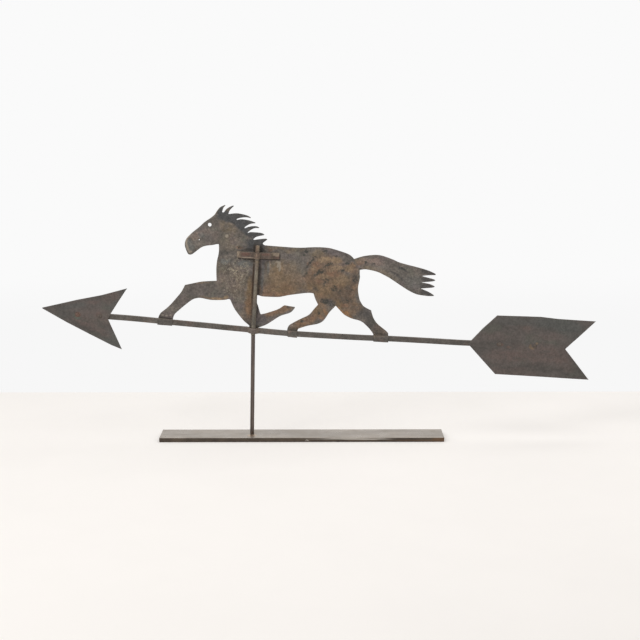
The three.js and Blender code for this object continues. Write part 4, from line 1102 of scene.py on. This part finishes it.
camera_data = bpy.data.cameras.new("camera")
camera = placed("camera", camera_data)
camera_data.lens = 63.155
camera_data.sensor_width = 36
camera_data.clip_start, camera_data.clip_end = 0.05, 50
camera_place = (0.04134, -2.43764, 0.78385)
pitch, roll = math.radians(11.841), -0.0014376
camera.matrix_world = (
    Matrix.Translation(camera_place)
    @ Matrix.Rotation(math.pi / 2 - pitch, 4, "X")
    @ Matrix.Rotation(roll, 4, "Z")
)
bpy.context.scene.camera = camera

# The floor's reach is in metres, and where its tones change is in millimetres
FLOOR_REACH = 7.0
WALL_LINE = 387.0
WALL_FADE = (1200, 2300)
FLOOR_FADE = (1300, 2400)
TONE_SLOPE = (5.8e-5, 7.5e-5, 0)
floor_mesh = bpy.data.meshes.new("floor")
floor_corners = [(x * FLOOR_REACH, y * FLOOR_REACH, 0) for x, y in ((-1, -1), (1, -1), (1, 1), (-1, 1))]
floor_mesh.from_pydata(floor_corners, [], [(0, 1, 2, 3)])
placed("floor", floor_mesh)

cover = Finish("floor", (245, 241, 237))
across = cover.node("VectorMath", {0: cover.place, 1: TONE_SLOPE}, 1, operation="DOT_PRODUCT")
cover.coat((255, 251, 247), cover.spread(across, -0.08, 0.07))
cover.grain(300, 90, 0.006)
back = cover.node("SeparateXYZ", {"Vector": cover.place}, 1)
behind = cover.spread(back, WALL_LINE - 2, WALL_LINE + 2)
cover.raise_by(0.2, 0.1, 8, 91, 3)
cover.finish(0.85, 0.0)
cover.shader.inputs["Specular IOR Level"].default_value = 0.2
wall_tone = cover.over((247, 247, 247), (250, 250, 250), cover.spread(back, *WALL_FADE))
outer = cover.spread(cover.node("VectorMath", {0: cover.place}, 1, operation="LENGTH"), *FLOOR_FADE)
outer_tone = cover.over((251, 250, 249), wall_tone, behind)
outer_light = cover.node("Emission", {"Color": outer_tone, "Strength": 1.0})
plain = cover.times(cover.sum(behind, outer, "MAXIMUM"), cover.looked_at())
mixed = cover.node("MixShader", {0: plain, 1: cover.shader.outputs[0], 2: outer_light})
cover.feed(cover.tree.nodes["Material Output"], {"Surface": mixed})
floor_mesh.materials.append(cover.material)


def lamp(name, place, target, width, height, power):
    data = bpy.data.lights.new(name, "AREA")
    data.shape, data.size, data.size_y, data.energy = "RECTANGLE", width, height, power
    made = placed(name, data)
    made.location = place
    made.rotation_euler = (Vector(target) - Vector(place)).to_track_quat("-Z", "Y").to_euler()


lamp("overhead", (0.1, -0.2, 2.4), (0.05, 0.0, 0.0), 3.2, 2.4, 29)
lamp("left_key", (-1.9, -1.7, 1.9), (0.0, 0.0, 0.25), 0.9, 0.9, 17)

world = bpy.data.worlds.new("world")
world.use_nodes = True
sky = Nodes(world.node_tree)
ambient = world.node_tree.nodes["Background"]
sky.feed(ambient, {"Color": (1, 0.995, 0.985, 1), "Strength": 0.58})
seen = sky.node("Background", {"Color": linear((250, 250, 250))})
choice = sky.node("MixShader", {0: sky.looked_at(), 1: ambient.outputs[0], 2: seen})
sky.feed(world.node_tree.nodes["World Output"], {"Surface": choice})
bpy.context.scene.world = world
bpy.context.scene.view_settings.view_transform = "Standard"
